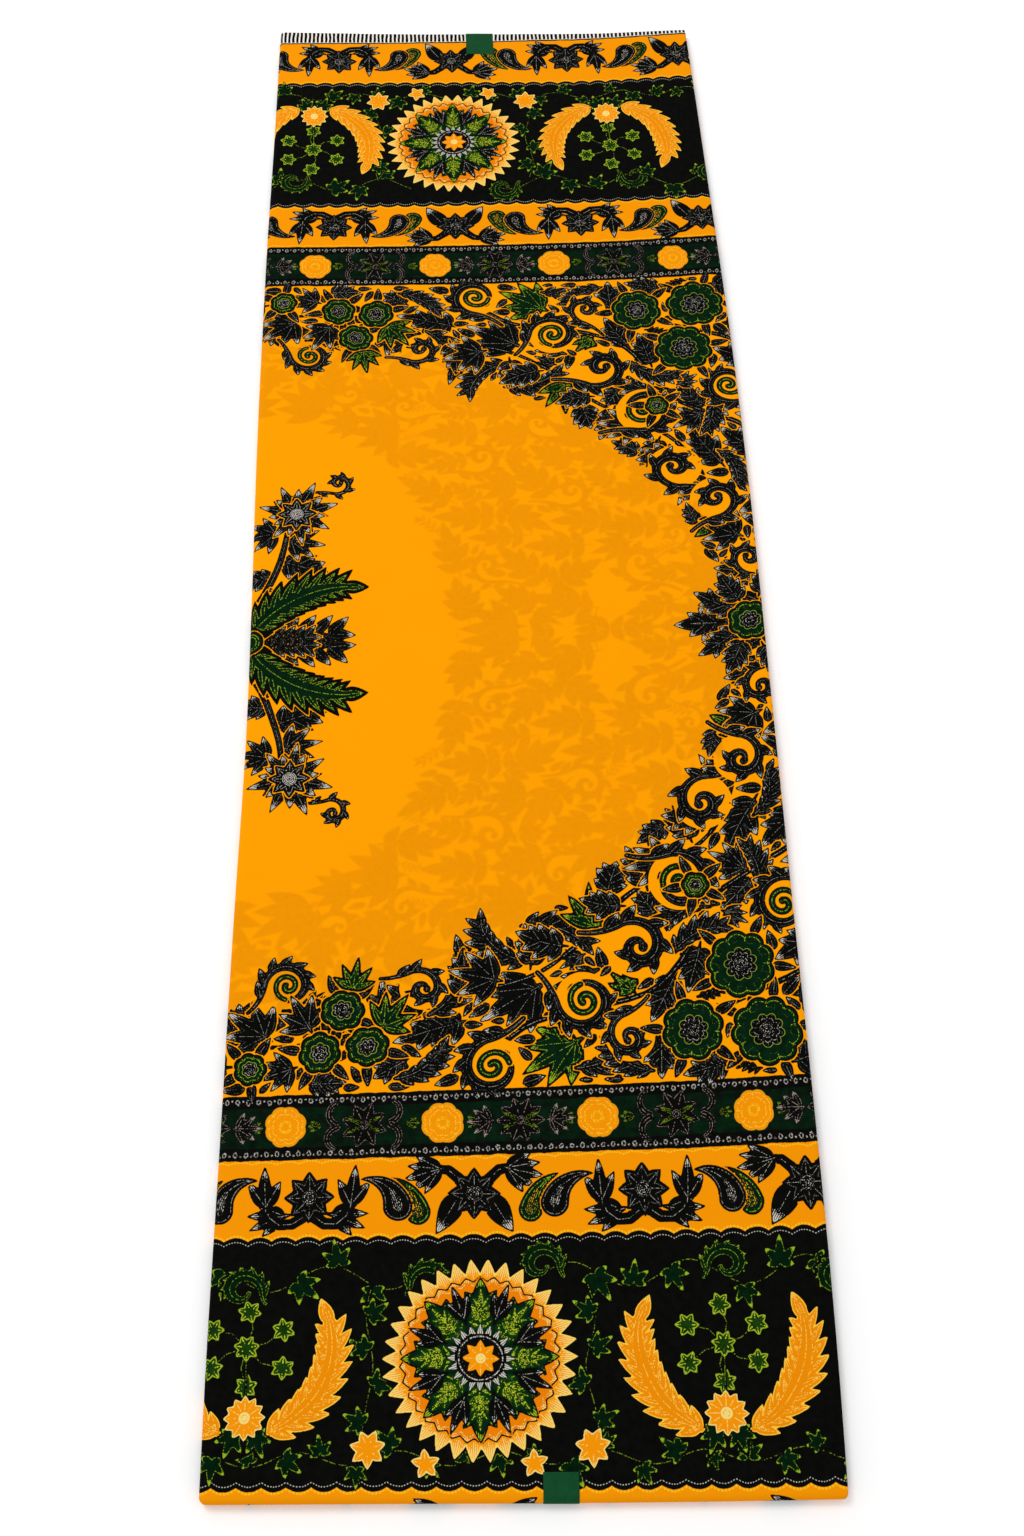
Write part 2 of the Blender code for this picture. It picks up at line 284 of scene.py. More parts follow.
def across_ends():
    """The arc lengths across at which the cloth's wall ends, on the left and on the right."""
    return (
        -PANEL_WIDTH / 2 + TURN_RADIUS - TURN_RADIUS * WALL_TURN,
        PANEL_WIDTH / 2 - FOLD_RADIUS + FOLD_RADIUS * WALL_TURN,
    )


def along_ends():
    """The arc lengths along at which the cloth ends, under the near turn and at the far cut edge."""
    return -PANEL_LENGTH / 2 + TURN_RADIUS - TURN_RADIUS * WALL_TURN, PANEL_LENGTH / 2


# ---- drawing the print


class Shape:
    """What one motif draws in a window: depth inside its outline, distance from its drawn lines, and stippling.

    Each array has a row for each cell and a column for each of the cell's corners. Depth joins by the largest
    value. A cell takes its lines from the one member that it lies deepest in, so that they stay whole.
    """

    def __init__(self, x, y):
        self.x = x
        self.y = y
        self.away = np.hypot(x, y)
        self.angle = np.arctan2(y, x)
        self.depth = np.full(x.shape, -99.0)
        self.line = np.full(x.shape, 99.0)
        self.stipple = np.zeros(x.shape)
        self.deepest = np.full(len(x), -99.0)

    def join(self, depth, line, stipple):
        """Adds one member of the motif."""
        middle = depth.mean(axis=1)
        ahead = (middle > self.deepest)[:, None]
        self.deepest = np.maximum(self.deepest, middle)
        self.line = np.where(ahead, line, self.line)
        self.stipple = np.where(ahead, stipple, self.stipple)
        self.depth = np.maximum(self.depth, depth)

    def lobe(self, x, y, turn, length, half_width, shade=1.0):
        """A pointed lobe from (x, y) towards turn: half width times 4 s (1 - s), with s the share of its length
        to the power 0.65. Its line is its middle."""
        along = ((self.x - x) * np.cos(turn) + (self.y - y) * np.sin(turn)) / length
        off = (self.y - y) * np.cos(turn) - (self.x - x) * np.sin(turn)
        share = np.clip(along, 0, 1) ** 0.65
        edge = half_width * 4 * share * (1 - share) + np.where(along < 0, 4 * half_width * along, 0)
        edge = edge + np.where(along > 1, 3 * half_width * (1 - along), 0)
        steep = np.hypot(1, 2.6 * half_width / length)
        inside = np.minimum(along - 0.08, 0.86 - along) * length
        line = np.where(inside > 0, off, np.sign(off + 1e-9) * np.hypot(off, inside))
        self.join((edge - np.abs(off)) / steep, line, shade * np.clip(along * 4.2 - 2.5, 0, 1))

    def stroke(self, points, radii):
        """A rounded stroke along a path: the largest of radius less distance over its straight stretches. Its
        line is the path, on the left as positive."""
        depth = np.full(self.x.shape, -99.0)
        line = np.full(self.x.shape, 99.0)
        for start, end, radius, next_radius in zip(points[:-1], points[1:], radii[:-1], radii[1:]):
            way = np.subtract(end, start)
            part = ((self.x - start[0]) * way[0] + (self.y - start[1]) * way[1]) / (way @ way)
            part = np.clip(part, 0, 1)
            off_x = self.x - start[0] - part * way[0]
            off_y = self.y - start[1] - part * way[1]
            away = np.hypot(off_x, off_y)
            here = radius + (next_radius - radius) * part - away
            better = here > depth
            depth = np.where(better, here, depth)
            line = np.where(better, np.where(way[0] * off_y - way[1] * off_x > 0, away, -away), line)
        self.join(depth, line, 0.0)


def arc(turn, length, bend, count):
    """Points along an arc from (0, 0) towards turn, of a length, that turns by bend in all."""
    share = np.linspace(0, 1, count)
    heading = turn + bend * share
    steps = length / (count - 1) * np.stack([np.cos(heading), np.sin(heading)], axis=1)
    return np.concatenate([[[0, 0]], np.cumsum((steps[:-1] + steps[1:]) / 2, axis=0)])


def spiral(turns, radius, tight):
    """Points of a spiral from (0, 0) on its outside, heading up, to the eye on its left: the logarithm of the
    radius falls evenly, from radius to tight times radius."""
    share = np.linspace(0, 1, 40)
    here = radius * tight**share
    angle = turns * 2 * np.pi * share
    return np.stack([here * np.cos(angle) - radius, here * np.sin(angle)], axis=1)


# Every motif has its drawing and its reach, in mm


def leaf(shape, length=30.0, width=9.0, pairs=3, bend=0.0):
    """A deeply cut leaf on a short stalk: an end lobe, and pairs of side lobes that lean forward along a bent
    middle."""
    middle = arc(0.0, length, bend, 25)
    heading = bend * np.linspace(0, 1, 25)
    shape.stroke([(-length * 0.14, 0), (0, 0)], [0.5, 0.9])
    shape.stroke(middle[:18:3], width * np.array([0.10, 0.20, 0.30, 0.32, 0.26, 0.16]))
    for pair in range(pairs):
        step = int(24 * (0.06 + 0.60 * pair / pairs))
        reach = width * (0.95 + 0.55 * np.sin(np.pi * (pair + 0.8) / (pairs + 0.6)))
        lean = np.radians(60 - 30 * pair / pairs)
        for side in (1, -1):
            shape.lobe(*middle[step], heading[step] + side * lean, reach, reach * 0.29)
    shape.lobe(*middle[13], heading[16], length * 0.50, width * 0.40)


def plain_leaf(shape, length=16.0, width=4.0, shade=1.0):
    """A plain pointed leaf on its own middle line."""
    shape.lobe(0, 0, 0.0, length, width, shade)


def lobes_round(shape, length, rows):
    """Pointed lobes from one point: the turn of each, and its share of the length."""
    for turn, share in rows:
        shape.lobe(0, 0, turn, length * share, length * 0.20)


def trefoil(shape, length=16.0, spread=0.75):
    """Three pointed lobes from one point, the middle one longest."""
    lobes_round(shape, length, ((spread, 0.86), (-spread, 0.86), (0.0, 1.0)))


def fan(shape, length=24.0, spread=1.15, lobes=5):
    """Pointed lobes fanned out from one point, shorter to the sides, over a round heel."""
    heel = [(-length * 0.14, 0), (length * 0.05, 0), (length * 0.30, 0)]
    shape.stroke(heel, [0.5, length * 0.07, length * 0.20])
    for turn in np.linspace(-spread, spread, lobes):
        shape.lobe(length * 0.03, 0, turn, length * (0.95 - 0.26 * abs(turn) / spread), length * 0.145)


def vine_leaf(shape, length=14.0):
    """A five pointed vine leaf: lobes from near its stem, shorter to the sides, with no lines inside."""
    lobes_round(shape, length, ((1.75, 0.55), (-1.75, 0.55), (0.85, 0.8), (-0.85, 0.8), (0.0, 1.0)))
    shape.line = np.full(shape.x.shape, 99.0)


def drop(shape, length, run, bend, count, round_end, power, tip):
    """A stroke along an arc from a round end to a fine tip, with its radii as shares of the drop's length."""
    path = arc(np.radians(80), run, bend, count)
    shape.stroke(path, length * (round_end * (1 - np.linspace(0, 1, count)) ** power + tip))


def paisley(shape, length=34.0, curl=1.5):
    """A drop with a curling tail."""
    drop(shape, length, length * 0.80, -curl, 16, 0.215, 0.9, 0.008)


def paisley_core(shape, length=34.0, curl=1.5):
    """The small drop inside a paisley."""
    drop(shape, length, length * 0.36, -curl * 0.4, 8, 0.085, 0.8, 0.004)
    shape.stipple = np.full(shape.x.shape, 0.50)


def star_flower(shape, radius=13.0, petals=8, shade=0.0, fat=0.27):
    """Pointed petals round a core."""
    inner = 4.5 * 0.3
    for turn in np.arange(petals) * 2 * np.pi / petals + np.pi / 2:
        shape.lobe(inner * np.cos(turn), inner * np.sin(turn), turn, radius - inner, radius * fat, shade)
    shape.join(radius * 0.48 - shape.away, 99.0, 0.0)


def round_flower(shape, radius=20.0, petals=8, cut=0.13, core=0.60):
    """Petals round a core whose size is a share of the flower's. The outline's radius is radius (1 - cut + cut
    w^0.7), where w is the size of the cosine of half the petals times the angle. Lines part the petals."""
    wave = np.abs(np.cos(petals * shape.angle / 2)) ** 0.7
    cycle = petals * shape.angle / (2 * np.pi) + 0.5
    off = shape.away * np.sin((cycle - np.round(cycle)) * 2 * np.pi / petals)
    parting = np.where(shape.away > radius * 0.64, off, 9.0)
    rim = shape.away - radius * core * (1 + 1.6 * cut * (wave - 0.5))
    nearer = np.abs(rim.mean(axis=1, keepdims=True)) < np.abs(parting.mean(axis=1, keepdims=True))
    shape.join(radius * (1 - cut + cut * wave) - shape.away, np.where(nearer, rim, parting), 0.0)


def disc(shape, radius=4.0, shade=0.0):
    """A round dot."""
    shape.join(radius - shape.away, shape.away - radius * 0.5, shade)


def ring(shape, radius=8.0, half_width=1.0):
    """A round ring."""
    shape.join(half_width - np.abs(shape.away - radius), shape.away - radius, 0.0)


def serrated_disc(shape, radius=50.0, teeth=36, cut=0.14):
    """A disc whose rim is cut into teeth: its radius is radius (1 - cut t), with t a triangle wave."""
    cycle = teeth * shape.angle / (2 * np.pi)
    off_tooth = cycle - np.round(cycle)
    off = shape.away * np.sin(off_tooth * 2 * np.pi / teeth)
    line = np.where(shape.away > radius * (1 - 1.3 * cut), off, 9.0)
    shade = np.clip((shape.away / radius - 1 + 1.6 * cut) / cut, 0, 1)
    edge = radius * (1 - cut * (2 * np.abs(off_tooth)))
    shape.join((edge - shape.away) / np.hypot(1, cut * teeth / np.pi), line, shade)


def plume(shape, length=78.0, bend=1.7, width=14.0, teeth=9):
    """A long serrated leaf along an arc, with teeth that lean to its tip, longer on its outer side."""
    path = arc(0.0, length * 0.9, bend, teeth + 2)
    share = np.linspace(0, 1, teeth + 2)
    heading = bend * share
    body = width * (0.06 + 0.23 * np.sin(np.pi * np.clip(share * 0.88 + 0.06, 0, 1)) ** 0.8)
    outer = -1 if bend > 0 else 1
    shape.stroke(path, body)
    for step in range(1, teeth + 1):
        size = 0.35 + body[step] / width * 2.0
        for lean, long, wide in ((outer * 0.74, 1.08, 0.20), (-outer * 0.66, 0.90, 0.18)):
            shape.lobe(*path[step - 1], heading[step] + lean, width * long * size, width * wide * size, 0.7)
    shape.lobe(*path[-2], heading[-1], length * 0.17, width * 0.20)


def scroll(shape, radius=15.0, turns=1.35, stem=18.0, teeth=7, weight=1.0, tight=0.16):
    """A leafy scroll: a stem that rolls up into a spiral with a round eye, with lobes leaning out of its back."""
    base = arc(-np.pi / 2, stem, 0.6, 8)[::-1][:-1]
    path = np.concatenate([base, spiral(turns, radius, tight)])
    share = np.linspace(0, 1, len(path))
    width = radius * weight * (0.08 + 0.12 * np.sin(np.pi * np.clip(share * 1.05, 0, 1)) ** 1.2)
    heading = np.arctan2(*np.gradient(path, axis=0).T[::-1])
    for step in np.linspace(4, len(path) * 0.58, teeth).astype(int):
        size = radius * (0.80 - 0.35 * step / len(path))
        shape.lobe(*path[step], heading[step] - 0.62, size, size * 0.27)
    shape.stroke(path, width)
    shape.stroke(path[-2:], [radius * 0.15, radius * 0.15])


def coil(shape, radius=15.0):
    """The inner turns of a scroll: a stroke on a spiral that shrinks evenly to its eye."""
    here = radius * np.linspace(0.60, 0.10, 26)
    angle = 2 * np.pi * (0.85 + np.linspace(-0.10, 1.2, 26))
    path = np.stack([here * np.cos(angle) - radius, here * np.sin(angle)], axis=1)
    shape.stroke(path, radius * np.linspace(0.10, 0.13, 26))


def acanthus(shape, length=42.0, bend=1.6, width=10.0):
    """A long curling leaf: a tapering arc with pointed lobes on its outer side, shorter ones inside, and an end
    lobe that curls."""
    lobes = 6
    path = arc(0.0, length, bend, 2 * lobes + 2)
    share = np.linspace(0, 1, len(path))
    heading = bend * share
    side = -1 if bend > 0 else 1
    for step in range(lobes):
        here = 2 * step + 1
        size = width * (0.75 + 0.75 * np.sin(np.pi * (step + 0.8) / (lobes + 0.6)))
        shape.lobe(*path[here], heading[here] + side * 0.72, size, size * 0.23)
        shape.lobe(*path[here], heading[here] - side * 0.62, size * 0.60, size * 0.17)
    shape.lobe(*path[-3], heading[-1], length * 0.28, width * 0.24)
    shape.stroke(path, width * (0.10 + 0.20 * np.sin(np.pi * share**0.8)))


def sprig(shape, length=30.0, bend=0.8, leaves=4):
    """A thin curved stalk with small plain leaves on both sides and one at its end."""
    path = arc(0.0, length * 0.75, bend, 2 * leaves + 1)
    heading = bend * np.linspace(0, 1, 2 * leaves + 1)
    shape.stroke(path, np.full(len(path), 0.75))
    for number in range(1, leaves + 1):
        for side in (-1, 1):
            step = 2 * number - (1 if side > 0 else 0)
            shape.lobe(*path[step], heading[step] + side * 0.9, length * 0.27, length * 0.062)
    shape.lobe(*path[-1], heading[-1], length * 0.27, length * 0.065)


def stem(shape, points, width):
    """A plain stem along a path, thinner to its end."""
    shape.stroke(points, np.linspace(width, width * 0.7, len(points)))


REACH = {
    leaf: lambda length=30.0, **_: 1.25 * length + 4,
    plain_leaf: lambda length=16.0, **_: 1.1 * length + 2,
    trefoil: lambda length=16.0, **_: 1.1 * length + 2,
    fan: lambda length=24.0, **_: 1.1 * length + 2,
    vine_leaf: lambda length=14.0, **_: 1.1 * length + 2,
    paisley: lambda length=34.0, **_: 1.1 * length + 2,
    paisley_core: lambda length=34.0, **_: 1.1 * length,
    star_flower: lambda radius=13.0, **_: radius + 3,
    round_flower: lambda radius=20.0, **_: radius + 3,
    disc: lambda radius=4.0, **_: radius + 2,
    ring: lambda radius=8.0, half_width=1.0: radius + half_width + 2,
    serrated_disc: lambda radius=50.0, **_: radius + 3,
    plume: lambda length=78.0, width=14.0, **_: 1.05 * length + width,
    sprig: lambda length=30.0, **_: 1.15 * length + 8,
    scroll: lambda radius=15.0, stem=18.0, **_: 2.6 * radius + stem,
    coil: lambda radius=15.0, **_: 1.8 * radius,
    acanthus: lambda length=42.0, **_: 1.2 * length + 6,
    stem: lambda points, **_: np.abs(np.array(points)).max() + 3,
}


class Ink:
    """The colours and widths that a motif is printed with, widths in mm. A halo is the gap printed round it."""

    def __init__(self, fill, rim, line, rim_width=0.8, inset=9.0, line_width=0.28, dotted=1.0, halo=None):
        colours = {"fill": (*fill, 1.0), "rim": (*rim, 1.0), "ink": (*line, 1.0)}
        self.paint = {**colours, "pen": (rim_width, inset, line_width, dotted)}
        self.halo = halo


BLACKS = (BLACK, BLACK, WHITE)
GREENS = (GREEN, BLACK, LIME)
BLACK_LEAF = Ink(*BLACKS, 0.70, 1.25, 0.05, 1.0, 0.8)
BLACK_JOINED = Ink(*BLACKS, 0.85, 9.0, 0.10)
BLACK_FLOWER = Ink(*BLACKS, 0.8, 1.5, 0.12, 1.0, 0.85)
BLACK_STAR = Ink(*BLACKS, 0.9, 1.7, 0.08)
WHITE_SPECKS = Ink(*BLACKS, 0.2, 9.0, 0.0)
WHITE_RAYS = Ink(*BLACKS, 0.3, 9.0, 0.3)
WHITE_RING = Ink(*BLACKS, 0.1, 9.0, 0.3)
BAND_BLACK = Ink(BLACK, BLACK, light(170, 150, 140), 0.2, 0.55, 0.13)
BAND_TIPS = Ink(BLACK, BLACK, light(120, 150, 28), 0.0, 0.6, 0.15)
DARK_CORE = Ink(BLACK, light(138, 156, 38), WHITE, 0.42, 9.0, 0.14)
GREEN_LEAF = Ink(*GREENS, 1.1, 1.8, 0.17, 1.0, 0.85)
GREEN_PLUME = Ink(*GREENS, 1.9, 2.4, 0.20, 1.0, 0.85)
GREEN_FLOWER = Ink(*GREENS, 1.3, 2.9, 0.24, 1.0, 0.85)
GREEN_DROP = Ink(*GREENS, 0.7, 1.7, 0.22, 1.0, 0.8)
GREEN_COIL = Ink(*GREENS, 0.6, 9.0, 0.22, 1.0, 0.8)
GREEN_PETAL = Ink(*GREENS, 0.8, 9.0, 0.0)
LIME_PETAL = Ink(light(12, 58, 14), light(8, 44, 16), light(186, 200, 44), 0.8, 1.7, 0.22)
LIME_STAR = Ink(light(24, 60, 12), light(146, 174, 30), light(206, 212, 60), 0.5, 9.0, 0.30)
VINE_LEAF = Ink(light(4, 31, 12), BLACK, light(150, 182, 34), 0.45, 0.80, 0.14, 1.0, 0.6)
VINE_STEM = Ink(BLACK, BLACK, light(132, 162, 32), 0.0, 9.0, 0.20)
YELLOW_SPECKS = Ink(GREEN, GREEN, YELLOW, 0.2, 9.0, 0.0)
YELLOW_RING = Ink(GOLD, GOLD, YELLOW, 0.0, 0.5, 0.24)
GOLD_PLUME = Ink(light(234, 138, 4), light(250, 196, 60), light(250, 208, 84), 0.5, 2.0, 0.22, 1.0, 0.6)
GOLD_FLAT = Ink(GOLD, light(224, 150, 20), light(250, 206, 60), 0.5, 1.9, 0.26)
GOLD_DISC = Ink(GOLD_DEEP, BLACK, CREAM, 0.8, 2.2, 0.24)
GOLD_STAR = Ink(GOLD, BLACK, CREAM, 0.4, 9.0, 0.2)
GOLD_DAISY = Ink(GOLD, CREAM, CREAM, 0.5, 9.0, 0.25)
CREAM_TEETH = Ink(GOLD, light(246, 206, 96), CREAM, 0.8, 9.0, 0.2, 0.0, 0.8)
CREAM_EYE = Ink(CREAM, GOLD, GOLD, 0.4, 9.0, 0.2)
CREAM_DAISY_EYE = Ink(CREAM, GOLD, GOLD, 0.5, 9.0, 0.2)

VINE_CURL = {"radius": 11.0, "stem": 7.0, "turns": 0.95, "weight": 1.7, "teeth": 9, "tight": 0.35}


def drawn(draw, x, y, turn, flip, sizes):
    """A motif's shape over places x and y from its own, turned in degrees and perhaps mirrored."""
    angle = np.radians(turn)
    x = -x if flip else x
    shape = Shape(x * np.cos(angle) + y * np.sin(angle), y * np.cos(angle) - x * np.sin(angle))
    draw(shape, **sizes)
    return shape


class Print:
    """The printed cloth as arrays with one entry for each cell, or for each corner of a cell."""

    def __init__(self, a, c):
        p, b, q = print_place(*np.meshgrid(a, c))
        sway = 0.35 * np.sin(p / 9 + q / 13) + 0.3 * np.sin(q / 7 - p / 17)
        self.p = corners(p + sway)
        self.b = corners(b + 0.8 * sway)
        self.q = corners(np.where(q < MIDDLE_Q, q, 2 * MIDDLE_Q - q) - 0.8 * sway)
        along = c / MM + PRINT_LENGTH / 2
        near_rows = np.flatnonzero(along[:-1] < MIDDLE_Q + HALVES_OVERLAP)
        self.rows = {"near": near_rows, "far": np.flatnonzero(along[1:] > MIDDLE_Q - HALVES_OVERLAP)}
        self.near_half = corners(q).mean(axis=2) < MIDDLE_Q
        shape = self.p.shape
        self.motif = np.full((*shape, 3), (-DEEP, DEEP, 0), np.float32)
        self.ghost = np.full(shape, -DEEP, np.float32)
        painted = ("fill", "rim", "ink", "under", "pen")
        self.paint = {key: np.zeros((*shape[:2], 4), np.float32) for key in painted}

    def window(self, half, plane, p, y, reach):
        """The row and column numbers of the cells within reach of a place."""
        columns = np.flatnonzero(np.abs(self.p[0, :, 0] - p) < reach + 2)
        if not len(columns):
            return columns, columns
        rows = self.rows[half]
        rows = rows[np.abs(plane[rows, columns[len(columns) // 2], 0] - y) < reach + 6]
        box = np.ix_(rows, columns)
        here = (np.abs(self.p[box].mean(axis=2) - p) < reach) & (np.abs(plane[box].mean(axis=2) - y) < reach)
        row, column = np.nonzero(here & (self.near_half[box] == (half == "near")))
        return rows[row], columns[column]

    def stamp(self, half, band, draw, p, y, turn, ink, flip, sizes, ghost=False):
        """Draws one motif at a place over what is there. With no ink it clears its place."""
        plane = self.b if band else self.q
        row, column = self.window(half, plane, p, y, REACH[draw](**sizes))
        if not len(row):
            return
        shape = drawn(draw, self.p[row, column] - p, plane[row, column] - y, turn, flip, sizes)
        depth = shape.depth
        if ghost:
            there = self.ghost[row, column]
            self.ghost[row, column] = np.maximum(there, depth) if ink else np.minimum(there, -depth)
            return
        if ink is None:
            self.cut(row, column, depth)
            return
        taken = depth.max(axis=1) > 0
        if ink.halo is not None:
            self.cut(row[~taken], column[~taken], depth[~taken] + ink.halo)
        cells = (row[taken], column[taken])
        under, fill = self.paint["under"], self.paint["fill"]
        if ink.halo is None:
            covered = self.motif[(*cells, slice(None), 0)].mean(axis=1) > 0
            under[cells] = np.where(covered[:, None], fill[cells], under[cells])
        else:
            under[cells] = 0
        marks = (np.clip(depth, -DEEP, DEEP), np.clip(shape.line, -DEEP, DEEP), shape.stipple)
        self.motif[cells] = np.stack(marks, axis=-1)[taken]
        for key, value in ink.paint.items():
            self.paint[key][cells] = value

    def cut(self, row, column, depth):
        """Cuts a shape out of the motifs in these cells."""
        cells = (row, column, slice(None), 0)
        self.motif[cells] = np.minimum(self.motif[cells], -depth)

    def clean(self, least=10):
        """Clears specks of fewer than so many cells. Each drawn cell takes the largest number beside it, again
        and again. A number that then meets no other one is a speck's."""
        there = self.motif[..., 0].max(axis=2) > 0
        last = there.size + 1

        def largest_beside(number):
            """The largest number in each drawn cell and the eight round it."""
            wide = np.pad(number, 1)
            rows = np.maximum(np.maximum(wide[:-2], wide[1:-1]), wide[2:])
            return np.where(there, np.maximum(np.maximum(rows[:, :-2], rows[:, 1:-1]), rows[:, 2:]), 0)

        number = np.where(there, np.arange(there.size).reshape(there.shape) + 1, 0)
        for _ in range(least):
            number = largest_beside(number)
        meets = largest_beside(number) != number
        meets |= there & (last - largest_beside(np.where(there, last - number, 0)) != number)
        whole = np.ones(last, bool)
        whole[number[meets]] = False
        speck = there & whole[number] & (np.bincount(number.ravel(), minlength=last)[number] < least)
        self.motif[speck, :, 0] = -1

    def read(self, a, c):
        """How deep in a motif places given in mm lie, and the motif's colour."""
        rows, columns = self.p.shape[:2]
        column = np.clip(np.round(a - self.p[0, 0, 0]), 0, columns - 1).astype(int)
        row = np.round((c + PRINT_LENGTH / 2) * rows / ARC_LENGTH + TURNED_UNDER)
        row = np.clip(row, 0, rows - 1).astype(int)
        return self.motif[row, column, :, 0].mean(axis=-1), self.paint["fill"][row, column]


def motif(draw, p, q, turn, ink, flip=False, **sizes):
    """One motif of the layout: what draws it, its place, its turn in degrees, its ink and its sizes. On the
    borders its second coordinate is b, and in the field q."""
    return draw, p, q, turn, ink, flip, sizes


def each(draw, ink, names, rows, **sizes):
    """One motif in many places: a row holds p, q, the turn, and the sizes that are named."""
    for p, q, turn, *values in rows:
        yield motif(draw, p, q, turn, ink, **dict(zip(names, values)), **sizes)


def stems(path, ink, width, step, least):
    """A long stem as pieces of its path, each drawn from its own middle."""
    for start in range(0, len(path) - least, step):
        piece = path[start : start + step + 1]
        middle = piece[(len(piece) - 1) // 2]
        yield motif(stem, *middle, 0, ink, points=piece - middle, width=width)


# ---- the layout of the print


def gold_row(middle, shift):
    """A row of star groups and drops on a gold band. The groups repeat every 189 mm."""
    over = np.array([(2, 11), (9, 16), (16, 16.5), (22, 12), (24, 4)])
    below = np.array([(3, 2), (8, -7), (14, -12), (21, -13)])
    for start in (-308, -119, 70, 259):
        first = start + shift
        second = first + 93
        for side in (-1, 1):
            # The draw, its place, its turn and what the side adds to it, its ink, and its sizes
            for draw, start_p, out, up, turn, lean, ink, sizes in (
                # Star with curled arms below it, a bud on each arm and a leaf under it
                (fan, first, 13, 11, 90, -78, BLACK_JOINED, dict(length=24, spread=0.6, lobes=4)),
                (stem, first, 0, 0, 0, 0, BLACK_JOINED, dict(points=over * (side, 1), width=3.4)),
                (fan, first, 24, 7, -90, 4, BLACK_JOINED, dict(length=25, spread=0.55, lobes=3)),
                # Star with two arms over it and two hanging leaves
                (stem, second, 0, 0, 0, 0, BLACK_JOINED, dict(points=below * (side, 1), width=3.4)),
                (fan, second, 18, -13, 90, -76, BLACK_JOINED, dict(length=24, spread=0.75, lobes=5)),
                (plain_leaf, second, 8, 2, 90, -34, BLACK_JOINED, dict(length=25, width=6.4)),
                # Drops beside the groups
                (paisley, first, 50, 7, 180, 0, BLACK_FLOWER, dict(flip=side < 0, length=36)),
                (paisley_core, first, 50, 7, 180, 0, WHITE_SPECKS, dict(flip=side < 0, length=34)),
                (paisley, second, 32, 10, 180, 0, GREEN_DROP, dict(flip=side > 0, length=32, curl=1.0)),
                (paisley_core, second, 32, 10, 180, 0, YELLOW_SPECKS, dict(flip=side > 0, length=36, curl=1.0)),
            ):
                yield motif(draw, start_p + side * out, middle + up, turn + side * lean, ink, **sizes)
        for place in (first, second):
            yield motif(star_flower, place, middle + 1, 0, BLACK_STAR, radius=14.5, fat=0.32)
            yield motif(disc, place, middle + 1, 0, WHITE_SPECKS, radius=4.2, shade=0.46)


def green_band(middle=19.2):
    """Gold rosettes every 90 mm with dark flowers between them, and curled or fanned leaves beside each flower in
    turn."""
    for number in range(-2, 4):
        rosette = -134 + 90 * number
        flower = rosette + 45
        for side in (-1, 1):
            out = 90 - side * 90
            yield motif(trefoil, flower + side * 25, middle, out, BAND_TIPS, length=7.5, spread=0.5)
            if number % 2:
                yield motif(fan, flower + side * 17, middle, out, BAND_BLACK, length=15, spread=1.2)
                continue
            for up in (-1, 1):
                curl = arc(up * 0.3, 17, up * 2.4, 9) * (side, 1)
                yield motif(stem, flower + side * 16, middle + up * 0.8, 0, BAND_BLACK, points=curl, width=2.2)
        yield motif(star_flower, flower, middle, 18, BAND_BLACK, radius=14.5, petals=10 if number % 2 else 8)
        for turn in (25, 155, 205, 335):
            yield motif(plain_leaf, flower, middle, turn, BAND_TIPS, length=11, width=1.5)
        yield motif(disc, flower, middle, 0, BAND_BLACK, radius=2.8)
        yield motif(round_flower, rosette, middle, 22.5, GOLD_FLAT, radius=12.0, cut=0.10)
        yield motif(ring, rosette, middle, 0, YELLOW_RING, radius=3.0, half_width=0.9)


def medallion(p, b):
    """A round rosette: gold teeth with cream rims, eight green leaves with lime ones on them, dark fans between
    them, white rays and a gold star. A row holds how far out, how many and the first one's turn."""
    for draw, out, count, first, ink, sizes in (
        (serrated_disc, 0, 1, 0, CREAM_TEETH, dict(radius=53, teeth=34, cut=0.15)),
        (serrated_disc, 0, 1, 5, GOLD_DISC, dict(radius=44, teeth=34, cut=0.06)),
        (leaf, 6, 8, 0, GREEN_PETAL, dict(length=36, width=12.5, pairs=4)),
        (leaf, 15, 8, 0, LIME_PETAL, dict(length=23, width=6.8, pairs=4)),
        (fan, 22, 8, 22.5, BLACK_JOINED, dict(length=21, spread=0.46, lobes=3)),
        (serrated_disc, 0, 1, 0, WHITE_RAYS, dict(radius=18.5, teeth=20, cut=0.36)),
        (ring, 0, 1, 0, WHITE_RING, dict(radius=11.5, half_width=1.2)),
        (star_flower, 0, 1, 0, GOLD_STAR, dict(radius=10)),
        (disc, 0, 1, 0, CREAM_EYE, dict(radius=2.8)),
    ):
        for turn in first + np.arange(count) * 45:
            way = np.radians(turn)
            yield motif(draw, p + out * np.cos(way), b + out * np.sin(way), turn, ink, **sizes)


